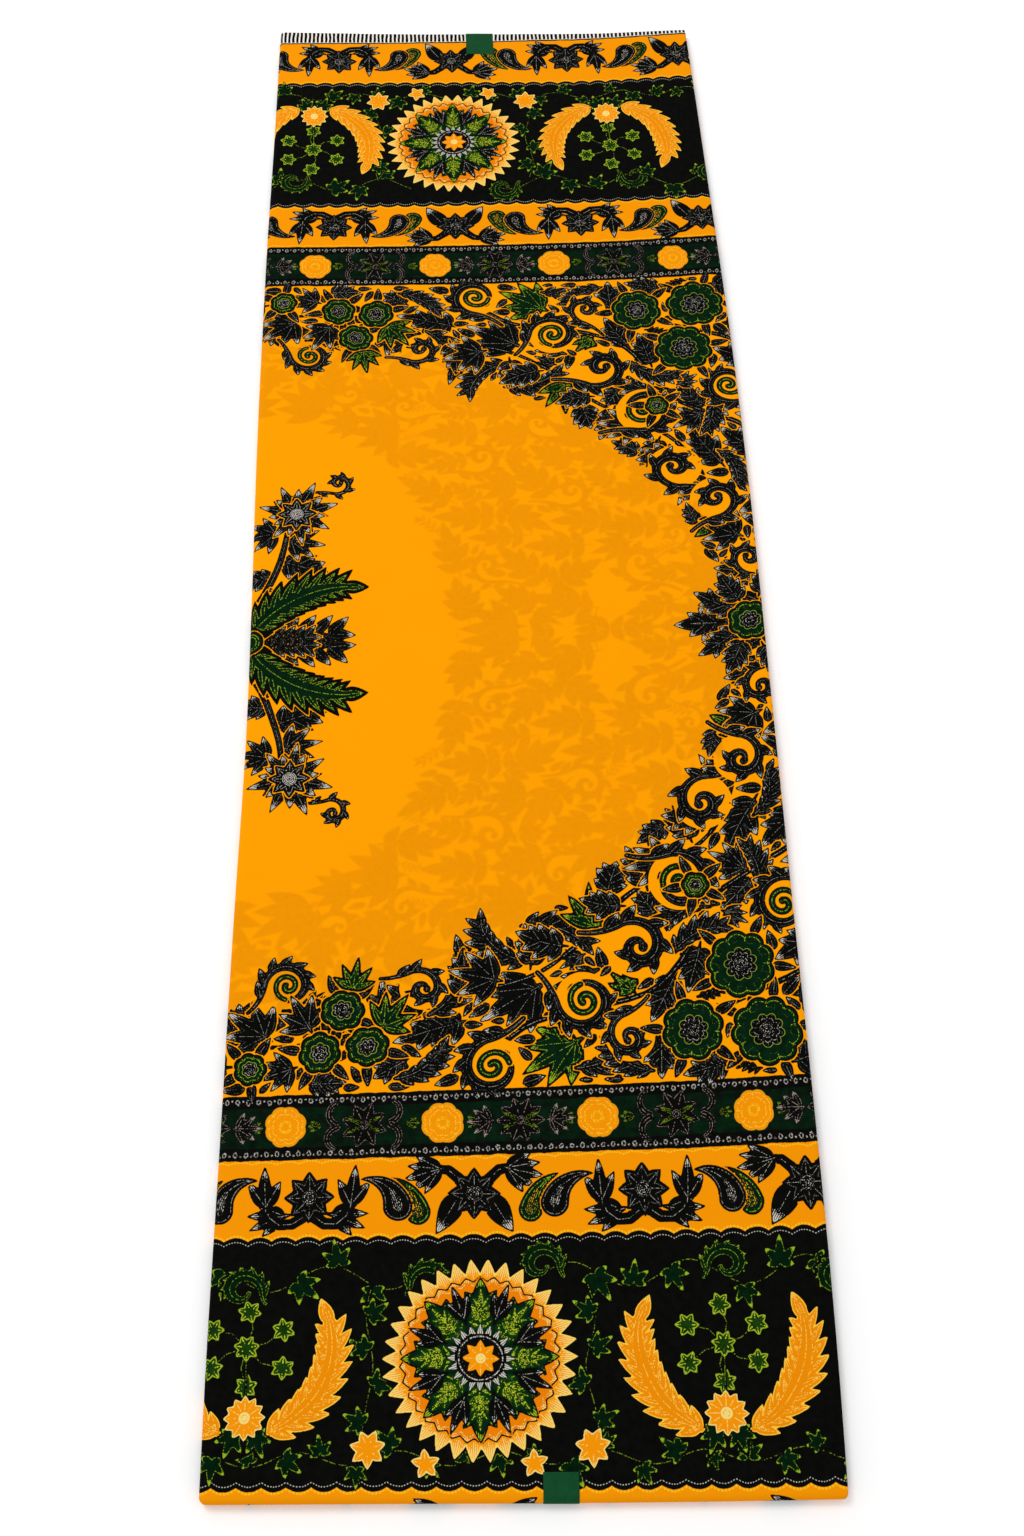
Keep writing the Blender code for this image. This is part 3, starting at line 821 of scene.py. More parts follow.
def wreath(p, b):
    """Two facing serrated plumes round a ring of lime stars, with a gold daisy at their foot."""
    daisy = b + 27
    hub = b - 9
    for step in range(6):
        turn = np.radians(60 * step + 30)
        star = np.array([p + 22 * np.cos(turn), hub + 20 * np.sin(turn)])
        path = np.array([(0, 0), (11 * np.cos(turn + 0.25), 11 * np.sin(turn + 0.25)), star - (p, hub)])
        yield motif(stem, p, hub, 0, VINE_STEM, points=path, width=0.8)
        yield motif(star_flower, *star, 10 * step, LIME_STAR, radius=6.5, petals=6, shade=1.0)
    yield motif(stem, p, hub, 0, VINE_STEM, points=[(0, 0), (0, 34)], width=0.8)
    yield motif(star_flower, p, hub, 0, LIME_STAR, radius=7.0, petals=7, shade=1.0)
    for side in (-1, 1):
        yield motif(plume, p + side * 14, b + 34, 200, GOLD_PLUME, side > 0, length=86, bend=1.6, width=19)
        yield motif(vine_leaf, p + side * 6, daisy + 9, 90 - side * 20, VINE_LEAF, length=13)
    yield motif(star_flower, p, daisy, 0, GOLD_DAISY, radius=11.5, petals=12)
    yield motif(disc, p, daisy, 0, CREAM_DAISY_EYE, radius=3.4)


def vines(medallion_p, wreath_p):
    """Leafy vines on the black band: a waving one along each edge with leaves and leafy curls, and shorter ones
    beside the medallion."""
    across = np.arange(-190, 192, 4.0)
    beside = (across < medallion_p - 27, across > medallion_p + 27)
    for low, height, wave, pitch, size, parts in (
        (106, 7.0, 66, 20.5, 14.2, beside),
        (201, 3.5, 54, 19.0, 11.5, (slice(None),)),
    ):
        inner = parts is beside

        def vine(p):
            """How far out the waving vine lies."""
            return low + height * np.sin(2 * np.pi * (p - wreath_p) / wave)

        for part in parts:
            yield from stems(np.stack([across, vine(across)], axis=1)[part], VINE_STEM, 0.95, 16, 4)
        for number, place in enumerate(np.arange(-184, 186, pitch)):
            if inner and abs(place - medallion_p) < 38:
                continue
            side = 1 if number % 2 else -1
            at = vine(place)
            if inner and number % 4 == 2:
                yield motif(scroll, place, at, 180 if side < 0 else 0, VINE_LEAF, number % 8 == 2, **VINE_CURL)
                continue
            lean = 90 * side - 25 + 30 * np.sin(number * 1.7)
            length = size + 2 * np.sin(number * 2.4)
            yield motif(vine_leaf, place, at + side * 2.5, lean, VINE_LEAF, length=length)
    for side in (-1, 1):

        def upright(b):
            """Where across the short vine lies."""
            return medallion_p + side * (60 + 2.5 * np.sin(b / 9))

        along = np.arange(112, 200, 4.0)
        yield from stems(np.stack([upright(along), along], axis=1), VINE_STEM, 0.95, 16, 4)
        for step in range(4):
            out = side if step % 2 else -side
            lean = -90 + out * (58 + 12 * np.sin(step * 3.0))
            place = (upright(122 + 19 * step) + out * 2, 126 + 19 * step)
            yield motif(vine_leaf, *place, lean, VINE_LEAF, length=12.5)
        for out, b, turn, radius, petals in ((60, 196, 0, 10, 7), (29, 204, 30, 7.5, 5)):
            star = dict(radius=radius, petals=petals, shade=0.9)
            yield motif(star_flower, medallion_p + side * out, b, turn, GOLD_DAISY, **star)


def arch_point(scale, angle):
    """A place on the arch's ellipse at a scale, by its angle from straight across, in degrees."""
    turn = np.radians(angle)
    return ARCH_P + ARCH_ACROSS * scale * np.cos(turn), MIDDLE_Q - ARCH_ALONG * scale * np.sin(turn)


def outside_arch(p, q):
    """How far a place is outside the arch, near enough in mm."""
    across = (p - ARCH_P) / ARCH_ACROSS
    along = (MIDDLE_Q - q) / ARCH_ALONG
    return (np.hypot(across, along) - 1) * 275


def placed(p, q, turn, flip, x, y):
    """Where a motif's own point (x, y) lies on the print."""
    angle = np.radians(turn)
    across = x * np.cos(angle) - y * np.sin(angle)
    return p + (-across if flip else across), q + x * np.sin(angle) + y * np.cos(angle)


def arch_leaves():
    """The leaves that lean in over the plain field from the arch's vine, every eighth one green."""
    for number, angle in enumerate(np.linspace(90, 3, 23)):
        base = arch_point(1.105, angle)
        towards = arch_point(0.98, angle + (8 if number % 2 else -6))
        inward = np.degrees(np.arctan2(towards[1] - base[1], towards[0] - base[0]))
        ink = GREEN_LEAF if number % 8 == 2 else BLACK_LEAF
        size = 29 + 4 * np.sin(number * 2.1)
        if number % 3 == 1:
            yield motif(fan, *base, inward, ink, length=size * 0.95)
        else:
            yield motif(leaf, *base, inward, ink, length=size, width=size * 0.34, bend=0.5 - number % 2)


def spandrel_vines():
    """The thick waving stems that follow the arch, one beyond the other."""
    for scale, sway, waves_along, start, end, width in (
        (1.115, 0.018, 14, 92, -4, 1.7),
        (1.27, 0.035, 16, 66, 12, 2.1),
        (1.46, 0.030, 20, 53, 28, 1.8),
    ):
        angles = np.linspace(start, end, 5 * int((start - end) / 7) + 1)
        path = [arch_point(scale + sway * np.sin(np.radians(angle * waves_along)), angle) for angle in angles]
        yield from stems(np.array(path), BLACK_JOINED, width, 5, 5)


def spandrel_scrolls():
    """The leafy scrolls, each with its inside cleared, and green eyes in some of them."""
    for p, q, turn, radius, flip, green in (
        (-150, 292, 10, 14, True, True), (-18, 252, 100, 17, False, True), (24, 270, 190, 17, False, True),
        (66, 322, 62, 19, True, False), (98, 366, 75, 19, True, True), (122, 418, 85, 18, False, False),
        (150, 446, 100, 17, True, False), (164, 496, 95, 14, False, False), (62, 262, 110, 14, False, False),
        (168, 345, 80, 17, False, True), (-62, 296, 60, 13, True, False),
    ):
        yield motif(disc, *placed(p, q, turn, flip, -radius * 0.97, 0), 0, None, radius=radius * 1.05)
        rolled = dict(turns=0.85, tight=0.6) if green else {}
        yield motif(scroll, p, q, turn, BLACK_LEAF, flip, radius=radius, stem=radius * 1.5, **rolled)
        if green:
            yield motif(coil, p, q, turn, GREEN_COIL, flip, radius=radius)


def spandrel_curls():
    """The long curling leaves."""
    rows = (
        (-52, 268, 30, 52, 1.3, 13.0), (8, 300, 175, 46, -1.4, 11.5), (4, 322, 10, 46, -1.1, 11.5),
        (50, 292, 200, 44, 1.2, 11.0), (126, 330, 165, 46, 1.4, 11.5), (96, 300, 60, 40, -1.3, 10.0),
        (152, 388, 40, 40, 1.2, 10.0), (-72, 230, 8, 38, 0.9, 9.5), (34, 232, 4, 42, 0.8, 10.5),
        (-142, 262, 60, 34, -1.0, 8.5), (150, 330, 70, 42, 1.0, 10.5), (80, 228, 170, 36, -0.8, 9.0),
    )
    return each(acanthus, BLACK_LEAF, ("length", "bend", "width"), rows)


def spandrel_flowers():
    """Green flowers in threes and alone, with pointed leaves behind them, and the leaves about the arch's tip."""
    flowers = (
        (148, 249, 21.5, 9), (104, 252, 19.0, 8), (136, 291, 21.5, 9), (-116, 247, 13.0, 7),
        (-88, 250, 13.0, 7), (-103, 273, 13.0, 7), (-156, 238, 10.0, 7), (162, 533, 15.5, 8),
        (112, 344, 9.0, 6),
    )
    for p, q, radius, _ in flowers:
        for turn in 72 * np.arange(5) + p:
            way = np.radians(turn)
            base = (p + (radius - 2) * np.cos(way), q + (radius - 2) * np.sin(way))
            yield motif(plain_leaf, *base, turn, BLACK_LEAF, length=14.5, width=3.0, shade=0.6)
    yield from each(fan, BLACK_LEAF, ("length",), ((-122, 262, 120, 26),))
    yield from each(fan, GREEN_LEAF, ("length",), ((-80, 262, 50, 26), (-98, 286, 80, 22)))
    yield from each(fan, BLACK_LEAF, ("length",), ((-132, 238, 200, 22),))
    tip = ((148, 533, 180, 36), (152, 524, 212, 30), (156, 516, 240, 26), (170, 512, 290, 24))
    for p, q, turn, length in tip:
        yield motif(leaf, p, q, turn, BLACK_LEAF, length=length, width=length * 0.32)
    for p, q, radius, petals in flowers:
        core = radius * 0.49
        yield motif(round_flower, p, q, p, GREEN_FLOWER, radius=radius, petals=petals, core=0.3)
        yield motif(round_flower, p, q, p, DARK_CORE, radius=core, petals=petals, cut=0.24)
        yield motif(disc, p, q, 0, WHITE_SPECKS, radius=core * 0.44, shade=0.44)


def filler(heroes, room_at, limit=380, least=2.4):
    """Leaves in the gaps between the main motifs. Over a coarse grid the room at a place is its distance from
    all that is drawn and from the edges. A leaf goes where the room is largest, along the gap's long way, until
    no gap is left."""
    step = 1.5
    starts = (-190, 216)
    across, along = np.arange(starts[0], 190, step), np.arange(starts[1], 542, step)
    p, q = (grid.reshape(-1, 1) for grid in np.meshgrid(across, along))
    room = np.minimum(room_at(p, q), 30.0)

    def clear(draw, at_p, at_q, turn, _, flip, sizes):
        """Takes a motif out of the room."""
        near = (np.hypot(p - at_p, q - at_q) < REACH[draw](**sizes) + 16)[:, 0]
        shape = drawn(draw, p[near] - at_p, q[near] - at_q, turn, flip, sizes)
        room[near] = np.minimum(room[near], -shape.depth)

    def room_along(at, way, reach):
        """The room at the places of a ray."""
        column, row = (
            np.clip(np.round((at[axis] + way[axis] * reach - starts[axis]) / step), 0, len(line) - 1).astype(int)
            for axis, line in enumerate((across, along))
        )
        return room[row * len(across) + column, 0]

    for item in heroes:
        clear(*item)
    reach = np.arange(step, 24, step)
    ways = [np.array([np.cos(angle), np.sin(angle)]) for angle in np.radians(range(0, 360, 15))]
    for number in range(limit):
        widest = int(np.argmax(room))
        gap = min(float(room[widest, 0]), 9.0)
        if gap < least:
            break
        at = np.array([p[widest, 0], q[widest, 0]])
        free = [step * float((np.minimum.accumulate(room_along(at, way, reach)) > 0.7).sum()) for way in ways]
        best = int(np.argmax(np.add(free[:12], free[12:])))
        best += 12 if (best < 6) == (number % 4 > 0) else 0
        back = min(free[(best + 12) % 24], gap * 2.2)
        length = max(back + min(free[best], gap * 2.8), gap * 2.1)
        if length < 8:
            room[widest] = 0
            continue
        if gap > 4.8:
            draw, sizes = (leaf, {"width": gap * 1.32}) if number % 3 else (fan, {"spread": 0.9})
        elif gap > 3.2 and length > 17:
            draw, sizes = sprig, {"bend": 0.5 - number % 2}
        else:
            draw, sizes = plain_leaf, {"width": min(gap * 1.05, length * 0.23), "shade": 0.8}
        ink = GREEN_LEAF if number % 12 == 3 and draw is not plain_leaf else BLACK_LEAF
        item = motif(draw, *(at - ways[best] * back), 15 * best, ink, length=length, **sizes)
        yield item
        clear(*item)
        room[widest] = min(room[widest, 0], 0)


def spandrel_room(p, q):
    """The room in the spandrel before anything is drawn."""
    return np.minimum(outside_arch(p, q) - 4.0, q - 222.5)


def ghost_room(p, q):
    """The room for the faint print: in the arch, and outside the arch of the print below."""
    below = (np.hypot((p - GHOST_P) / GHOST_ACROSS, (MIDDLE_Q - q) / GHOST_ALONG) - 1) * 160
    return np.minimum(below, 12.0 - outside_arch(p, q))


def faint_print():
    """The faint print that shows through: scrolls and leaves over the whole of its place."""
    items = [motif(disc, 74, 501, 0, None, radius=19)]
    for p, q, turn, radius, flip in (
        (92, 498, 90, 18, False), (40, 430, 60, 15, True), (-10, 492, 80, 14, False), (-20, 400, 70, 16, True),
        (-60, 350, 60, 14, False), (30, 370, 80, 14, False), (-120, 330, 20, 14, True),
        (118, 470, 100, 12, True),
    ):
        items.append(motif(scroll, p, q, turn, BLACK_LEAF, flip, radius=radius, stem=radius * 1.5))
    return [*filler(items, ghost_room, 200, 3.6), *items]


def palmette():
    """Half of a leafy rosette at the left fold: green plumes, black leaves, and a scroll with a star flower."""
    yield from each(leaf, BLACK_LEAF, ("length", "width"), ((-150, 470, 20, 34, 11), (-158, 482, 172, 20, 8)))
    yield from each(fan, BLACK_LEAF, ("length",), ((-146, 452, 10, 26), (-156, 446, 170, 24)))
    yield motif(stem, -172, 512, 0, BLACK_LEAF, points=arc(-1.0, 78, -0.5, 9), width=2.6)
    yield motif(scroll, -116, 414, 74, BLACK_LEAF, True, radius=10, stem=27)
    for turn, length in ((-165, 28), (-115, 27), (-65, 30), (-15, 30), (30, 27), (80, 27), (130, 26)):
        yield motif(fan, -142, 430, turn, BLACK_LEAF, length=length, spread=0.40, lobes=3)
    yield motif(star_flower, -142, 430, 0, BLACK_FLOWER, radius=13.5)
    yield motif(disc, -142, 430, 0, WHITE_SPECKS, radius=4.5, shade=0.7)
    for turn, length, bend in ((-82, 44, 0.5), (-14, 66, 0.35), (-4, 44, 0.05)):
        yield motif(sprig, -168, 531, turn, BLACK_LEAF, length=length, bend=bend, leaves=5)
    yield motif(plume, -173, 531, -62, GREEN_PLUME, length=98, bend=1.15, width=27, teeth=9)
    yield motif(disc, -172, 533, 0, GREEN_FLOWER, radius=9)


def printed(a, c):
    """The whole print over a grid of arc lengths."""
    cloth = Print(a, c)
    heroes = [*spandrel_vines(), *spandrel_curls(), *arch_leaves(), *spandrel_scrolls(), *spandrel_flowers()]
    field = [*filler(heroes, spandrel_room), *heroes, *palmette()]
    faint = faint_print()
    for half, shift, medallion_p, wreaths in (("near", 0, -23, (-149, 109)), ("far", -2, -28, (-140, 97))):
        for item in faint:
            cloth.stamp(half, False, *item, ghost=True)
        for item in field:
            cloth.stamp(half, False, *item)
        rows = (*green_band(), *gold_row(59.5, shift), *gold_row(241.5, shift), *vines(medallion_p, wreaths[1]))
        for item in (*rows, *medallion(medallion_p, 150), *wreath(wreaths[0], 153), *wreath(wreaths[1], 153)):
            cloth.stamp(half, True, *item)
    cloth.clean()
    return cloth


# ---- materials


class Signal:
    """A socket's value, so that an expression on it adds Math nodes."""

    def __init__(self, finish, socket):
        self.finish = finish
        self.socket = socket

    def math(self, operation, *values, clamp=False, turned=False):
        """A Math node on this value and others, or on the others and this one."""
        inputs = dict(enumerate([*values, self] if turned else [self, *values]))
        return self.finish.node("ShaderNodeMath", {"operation": operation, "use_clamp": clamp}, inputs)

    __add__ = __radd__ = lambda self, other: self.math("ADD", other)
    __mul__ = __rmul__ = lambda self, other: self.math("MULTIPLY", other)
    __sub__ = lambda self, other: self.math("SUBTRACT", other)
    __rsub__ = lambda self, other: self.math("SUBTRACT", other, turned=True)
    __truediv__ = lambda self, other: self.math("DIVIDE", other)
    __abs__ = lambda self: self.math("ABSOLUTE")

    def over(self, limit, soft=0.12):
        """1 where the value is over a limit, with an edge as wide as soft."""
        return (self - limit).math("MULTIPLY_ADD", 1 / soft, 0.5, clamp=True)

    def under(self, limit, soft=0.12):
        """1 where the value is under a limit, with an edge as wide as soft."""
        return (self - limit).math("MULTIPLY_ADD", -1 / soft, 0.5, clamp=True)

    def either(self, other):
        """The larger of two values."""
        return self.math("MAXIMUM", other)

    def wave(self, pitch, shift=0.0):
        """The place in each stretch of a pitch, from -0.5 to 0.5."""
        return (self / pitch + (shift + 0.5)).math("FRACT") - 0.5

    def round_to(self, other):
        """The length of the vector made by two values."""
        return (self * self + other * other).math("SQRT")


class Finish:
    """A material, built from expressions."""

    def __init__(self, name):
        self.material = bpy.data.materials.new(name)
        self.material.use_nodes = True
        self.tree = self.material.node_tree
        self.shader = self.tree.nodes["Principled BSDF"]

    def node(self, kind, settings=None, inputs=None, output=0):
        """Adds a node: its settings first, then its inputs' values or links. Returns one of its outputs."""
        node = self.tree.nodes.new(kind)
        for key, value in (settings or {}).items():
            setattr(node, key, value)
        for key, value in (inputs or {}).items():
            self.feed(node.inputs[key], value)
        return Signal(self, node.outputs[output])

    def feed(self, socket, value):
        """Links a value to a socket, or sets it there."""
        if isinstance(value, Signal):
            self.tree.links.new(value.socket, socket)
        elif isinstance(value, tuple) and len(value) == 3 and len(socket.default_value) == 4:
            socket.default_value = (*value, 1.0)
        else:
            socket.default_value = value

    def attribute(self, name, output=0):
        """An attribute of the mesh: as a colour, a vector or a number."""
        return self.node("ShaderNodeAttribute", {"attribute_name": name}, output=output)

    def parts(self, vector):
        """The three numbers of a vector."""
        first = self.node("ShaderNodeSeparateXYZ", inputs={0: vector})
        outputs = first.socket.node.outputs
        return [Signal(self, outputs[number]) for number in range(3)]

    def join(self, x, y, z=0.0):
        """A vector of three numbers."""
        return self.node("ShaderNodeCombineXYZ", inputs={0: x, 1: y, 2: z})

    def mix(self, factor, low, high, blend="MIX"):
        """Two colours mixed by a factor."""
        settings = {"data_type": "RGBA", "blend_type": blend}
        return self.node("ShaderNodeMix", settings, {0: factor, 6: low, 7: high}, output=2)

    def darker(self, colour, shade):
        """A colour times one value."""
        return self.mix(1.0, colour, self.join(shade, shade, shade), "MULTIPLY")

    def noise(self, vector, scale, detail=2.0, rough=0.5):
        """Noise from 0 to 1 at a place."""
        inputs = {"Vector": vector, "Scale": scale, "Detail": detail, "Roughness": rough}
        return self.node("ShaderNodeTexNoise", inputs=inputs)

    def place(self):
        """The place on the model, in metres."""
        return self.node("ShaderNodeTexCoord", output=3)

    def done(self, colour, roughness, specular, bump=None):
        """Sets the shader's own sockets, with a bump's height, strength and distance, and gives the material."""
        inputs = {"Base Color": colour, "Roughness": roughness, "Specular IOR Level": specular}
        if bump:
            named = dict(zip(("Height", "Strength", "Distance"), bump))
            inputs["Normal"] = self.node("ShaderNodeBump", inputs=named)
        for key, value in inputs.items():
            self.feed(self.shader.inputs[key], value)
        return self.material


BAND_COLOURS = (
    "black", "green", "pearl", "garland", "field", "field_deep", "ghost", "border", "border_deep", "selvedge",
)


def banded(finish, colours):
    """The bands worked out from the print's own coordinates. Returns their colour, and the noises used."""
    black, green, white, yellow, field, field_deep, faint, border, border_deep, selvedge = (
        tuple(getattr(colours, key)) for key in BAND_COLOURS
    )
    p, b, q = finish.parts(finish.attribute("cloth", 1))
    flat = finish.join(p, q)
    sway = finish.noise(flat, 0.10, 3.0) - 0.5
    fine = finish.noise(flat, 0.55, 1.0) - 0.5
    edge = b + sway * 2.2 + fine * 0.5
    across = p + sway * 2.0
    patches = finish.noise(flat, 0.035, 3.0)
    speck = finish.noise(flat, 1.4, 2.0)

    def dots(row, half_width, soft, pitch, half_dot):
        """A row of dots along a band: within half a width of the row's middle, and of each pitch's."""
        return abs(row).under(half_width, soft) * abs(across.wave(pitch)).under(half_dot, 0.2)

    thick = patches.over(0.5, 0.5)
    ghost = finish.attribute("ghost", 2).over(0.3, 1.6) * (finish.noise(flat, 0.3, 3.0) * 0.7 + 0.55)
    ground = finish.mix(thick, field, field_deep)
    border = finish.mix(thick, border, border_deep)
    dark_green = finish.mix(finish.noise(flat, 0.12, 3.0).over(0.50, 0.35) * 0.75, green, black)
    cycle = across.wave(13.2)
    arch = (1.0 - cycle * cycle * 4.0) * 2.3
    middle = abs(b - 150.0) + fine * 0.5 - arch
    garland = dots(middle - 65.8, 0.55, 0.3, 1.9, 0.34)
    garland = garland.either(dots(edge + arch * 0.6 - 41.2, 0.45, 0.3, 1.7, 0.34))
    strip = abs(edge - 19.5) - 15.75
    bead = (across.wave(6.0) * 7.5).round_to(strip + fine * 2.0)
    between = (across.wave(6.0, 0.5) * 6.0).round_to(strip - 0.8)
    beads = abs(bead - 1.25).under(0.36, 0.3) + between.under(0.55, 0.3)
    stripe = abs(across.wave(3.4)).under(0.30, 0.06) * edge.over(266.6, 0.4)
    selvedge = finish.mix(stripe.either(edge.under(266.2, 0.5)), selvedge, black)
    for share, colour in (
        # From the field outwards
        (ghost, faint),
        (edge.over(0.0, 0.2), dark_green),
        (edge.over(39.0, 0.2), border),
        (middle.under(65.0, 0.2), black),
        (dots(middle - 62.4, 0.24, 0.2, 1.5, 0.22) * 0.85, white),
        (garland * 0.8, yellow),
        # Pearl rows along both edges of the green band
        (abs(strip).under(3.75, 0.3), black),
        (beads.math("MINIMUM", 1.0) * speck.over(0.48, 0.12) * 0.75, white),
        # Striped selvedge past the outer gold band
        (edge.over(264.8, 0.3), selvedge),
    ):
        ground = finish.mix(share, ground, colour)
    return ground, flat, fine, patches, speck


def printed_cotton(colours):
    """The printed cotton: the bands, motifs from the drawn depth and lines, a fine plain weave, and slight
    unevenness of the dye."""
    finish = Finish("printed cotton")
    ground, flat, fine, patches, speck = banded(finish, colours)
    depth, line, stipple = finish.parts(finish.attribute("motif", 1))
    depth = depth + fine * 0.25 + 0.22
    pen = finish.attribute("pen")
    rim_width, inset, line_width = finish.parts(pen)
    dotted = Signal(finish, pen.socket.node.outputs["Alpha"])
    dots = finish.node("ShaderNodeTexVoronoi", inputs={"Vector": flat, "Scale": 1.15, "Randomness": 0.7})
    under = finish.attribute("under")
    under_there = Signal(finish, under.socket.node.outputs["Alpha"])
    ground = finish.mix(under_there.over(0.5), ground, under)
    breaks = dots.under(0.52, 0.15).either(dotted.under(0.5))
    drawn = (abs(line) - line_width).under(0.02, 0.2) * (depth - rim_width).over(0.2, 0.3)
    inline = (abs(depth - inset) - line_width).under(0.0, 0.2) * (line_width * 6.0 + stipple).math("MINIMUM", 1.0)
    hatch = (abs(line.wave(1.1)) - stipple * 0.31).under(0.04, 0.12)
    specks = hatch * (dots - stipple * 0.9).under(0.02, 0.15) * stipple.over(0.06, 0.1)
    marks = (drawn.either(inline) * breaks * line_width.over(0.01, 0.01)).either(specks)
    body = finish.mix(marks * 0.92, finish.attribute("fill"), finish.attribute("ink"))
    body = finish.mix((depth - rim_width).under(0.0, 0.2), body, finish.attribute("rim"))
    colour = finish.mix(depth.over(0.0, 0.15), ground, body)

    # Weave and dye
    threads = {"Vector": flat, "Scale": 0.55, "Distortion": 0.6}
    warp, weft = (finish.node("ShaderNodeTexWave", {"bands_direction": way}, threads) for way in "XY")
    cloth = warp * weft
    dye = speck * 0.16 + patches * 0.10 + cloth * 0.10 + 0.80
    mottle = finish.noise(flat, 0.22, 3.0).over(0.52, 0.5) * 0.65 + 0.50
    red = finish.parts(colour)[0]
    pale = (red * 4.0).math("MINIMUM", 1.0)
    dye = dye * (mottle + (1.0 - mottle) * pale)
    return finish.done(finish.darker(colour, dye), speck * 0.12 + 0.70, 0.015, (cloth + fine * 0.5, 0.25, 0.00006))


def folded_edges(colours):
    """The cut and folded edges of the hidden layers: the print goes on over them, with painted shade where a layer
    goes in under the next, and the fine threads of a cut edge."""
    finish = Finish("cloth edges")
    ground, _, fine, _, _ = banded(finish, colours)
    place = finish.place()
    x, y, z = finish.parts(place)
    threads = finish.noise(finish.join(x * 3.0, y, z * 6.0), 700.0, 2.0)
    soft = finish.noise(place, 60.0, 2.0)
    motif = finish.attribute("motif", 2) + fine * 1.5
    colour = finish.mix(motif.over(0.0, 0.3), ground, finish.attribute("fill"))
    colour = finish.mix(finish.attribute("plain", 2), colour, tuple(colours.field))
    # Painted shade in the grooves between layers, times the cut edge's thread texture and a soft random tone
    shade = (1.0 - finish.attribute("groove", 2) * 0.6) * (threads * 0.35 + 0.80) * (soft * 0.2 + 0.9)
    return finish.done(finish.darker(colour, shade), threads * 0.15 + 0.75, 0.03, (threads, 0.3, 0.0002))


def label_stock(name, colour):
    """Dark green label stock: matt, with a fine fibrous mottle and rubbed rims."""
    finish = Finish(name)
    place = finish.place()
    fibre = finish.noise(place, 900.0, 3.0, 0.7)
    mottle = finish.noise(place, 170.0, 3.0)
    rubbed = finish.attribute("rubbed", 2)
    shade = fibre * 0.5 + mottle * 0.5 + 0.5
    colour = finish.mix(rubbed * mottle * 0.5, finish.darker(colour, shade), light(96, 140, 104))
    return finish.done(colour, fibre * 0.2 + 0.52, 0.05, (fibre, 0.3, 0.00008))


# ---- meshes


def linked(name, data):
    """A new object at the origin with its data."""
    thing = bpy.data.objects.new(name, data)
    bpy.context.scene.collection.objects.link(thing)
    return thing


def mesh_piece(name, points, quads, material, node, slot, **sheet):
    """A piece from its points over the panel and its four-sided faces, with its finish; the solid that it stands
    for is hidden.
    """
    mesh = bpy.data.meshes.new(name)
    points = np.ascontiguousarray((points + origin_shift()).reshape(-1, 3), np.float32)
    mesh.vertices.add(len(points))
    mesh.vertices.foreach_set("co", points.ravel())
    mesh.loops.add(quads.size)
    mesh.loops.foreach_set("vertex_index", np.ascontiguousarray(quads, np.int32).ravel())
    mesh.polygons.add(len(quads))
    mesh.polygons.foreach_set("loop_start", np.arange(0, quads.size, 4, dtype=np.int32))
    mesh.materials.append(material)
    mesh.update(calc_edges=True)
    mesh.shade_smooth()
    piece = linked(name, mesh)
    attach(piece, "root")
    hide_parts(node)
    return piece


def give(piece, domain, kind, **layers):
    """Attributes of a piece's mesh, all of one domain and kind."""
    field = {"FLOAT": "value", "FLOAT_VECTOR": "vector", "FLOAT_COLOR": "color"}[kind]
    for name, values in layers.items():
        layer = piece.data.attributes.new(name, kind, domain)
        layer.data.foreach_set(field, np.ascontiguousarray(values, np.float32).ravel())


def quads_of(rows, columns):
    """The faces of a grid of points, facing up where rows go away and columns go right."""
    number = np.arange(rows * columns).reshape(rows, columns)
    return corners(number).reshape(-1, 4)


def even(start, end, cell):
    """Evenly spaced places from start to end, about a cell apart."""
    return np.linspace(start, end, int(round((end - start) / cell)) + 1)


# ---- what a user would change


def number_property(name, description, default, **more):
    """A number, with its unit if it has one."""
    return bpy.props.FloatProperty(name=name, description=description, default=default, **more)


def size_property(name, description, default):
    """A length in metres."""
    return number_property(name, description, default, unit="LENGTH", min=0.0, precision=5)


def colour_property(name, description, default):
    """A colour in linear light."""
    more = {"subtype": "COLOR", "size": 3, "min": 0.0, "max": 1.0}
    return bpy.props.FloatVectorProperty(name=name, description=description, default=default, **more)


class WaxPrintCloth(bpy.types.PropertyGroup):
    """The printed cloth's grid and its colours."""

    cell: size_property("Cell", "Size of the cloth's cells", 0.001)
    edge: size_property("Edge", "Thickness of the cut edge", 0.0003)
    crease: number_property("Creases", "Depth of the creases, 1 as found", 1.0, min=0.0)
    field: colour_property("Field", "Gold of the plain field", light(252, 160, 1))
    field_deep: colour_property("Deep field", "The same gold where the dye lies thicker", light(250, 154, 0))
    ghost: colour_property("Show-through", "Gold where the print below shows through", light(234, 144, 2))
    border: colour_property("Border", "Gold of the borders", light(244, 150, 3))
    border_deep: colour_property("Deep border", "The same gold where the dye lies thicker", light(240, 144, 3))
    black: colour_property("Black", "Black of the bands", BLACK)
    green: colour_property("Green", "Green of the narrow band", GREEN)
    pearl: colour_property("Pearl", "The fine white dots", WHITE)
    garland: colour_property("Garland", "The fine yellow dots", YELLOW)
    selvedge: colour_property("Selvedge", "The ground between the selvedge's bars", light(238, 232, 222))


class WaxPrintLayers(bpy.types.PropertyGroup):
    """The hidden layers of the folded cloth."""

    under: size_property("Under", "How far the hidden layers stay under the face", 0.0004)
    ridge: size_property("Ridge", "How far the cut edges stand out", 0.0004)
    step_along: size_property("Step", "Size of the cells along the folds", 0.003)


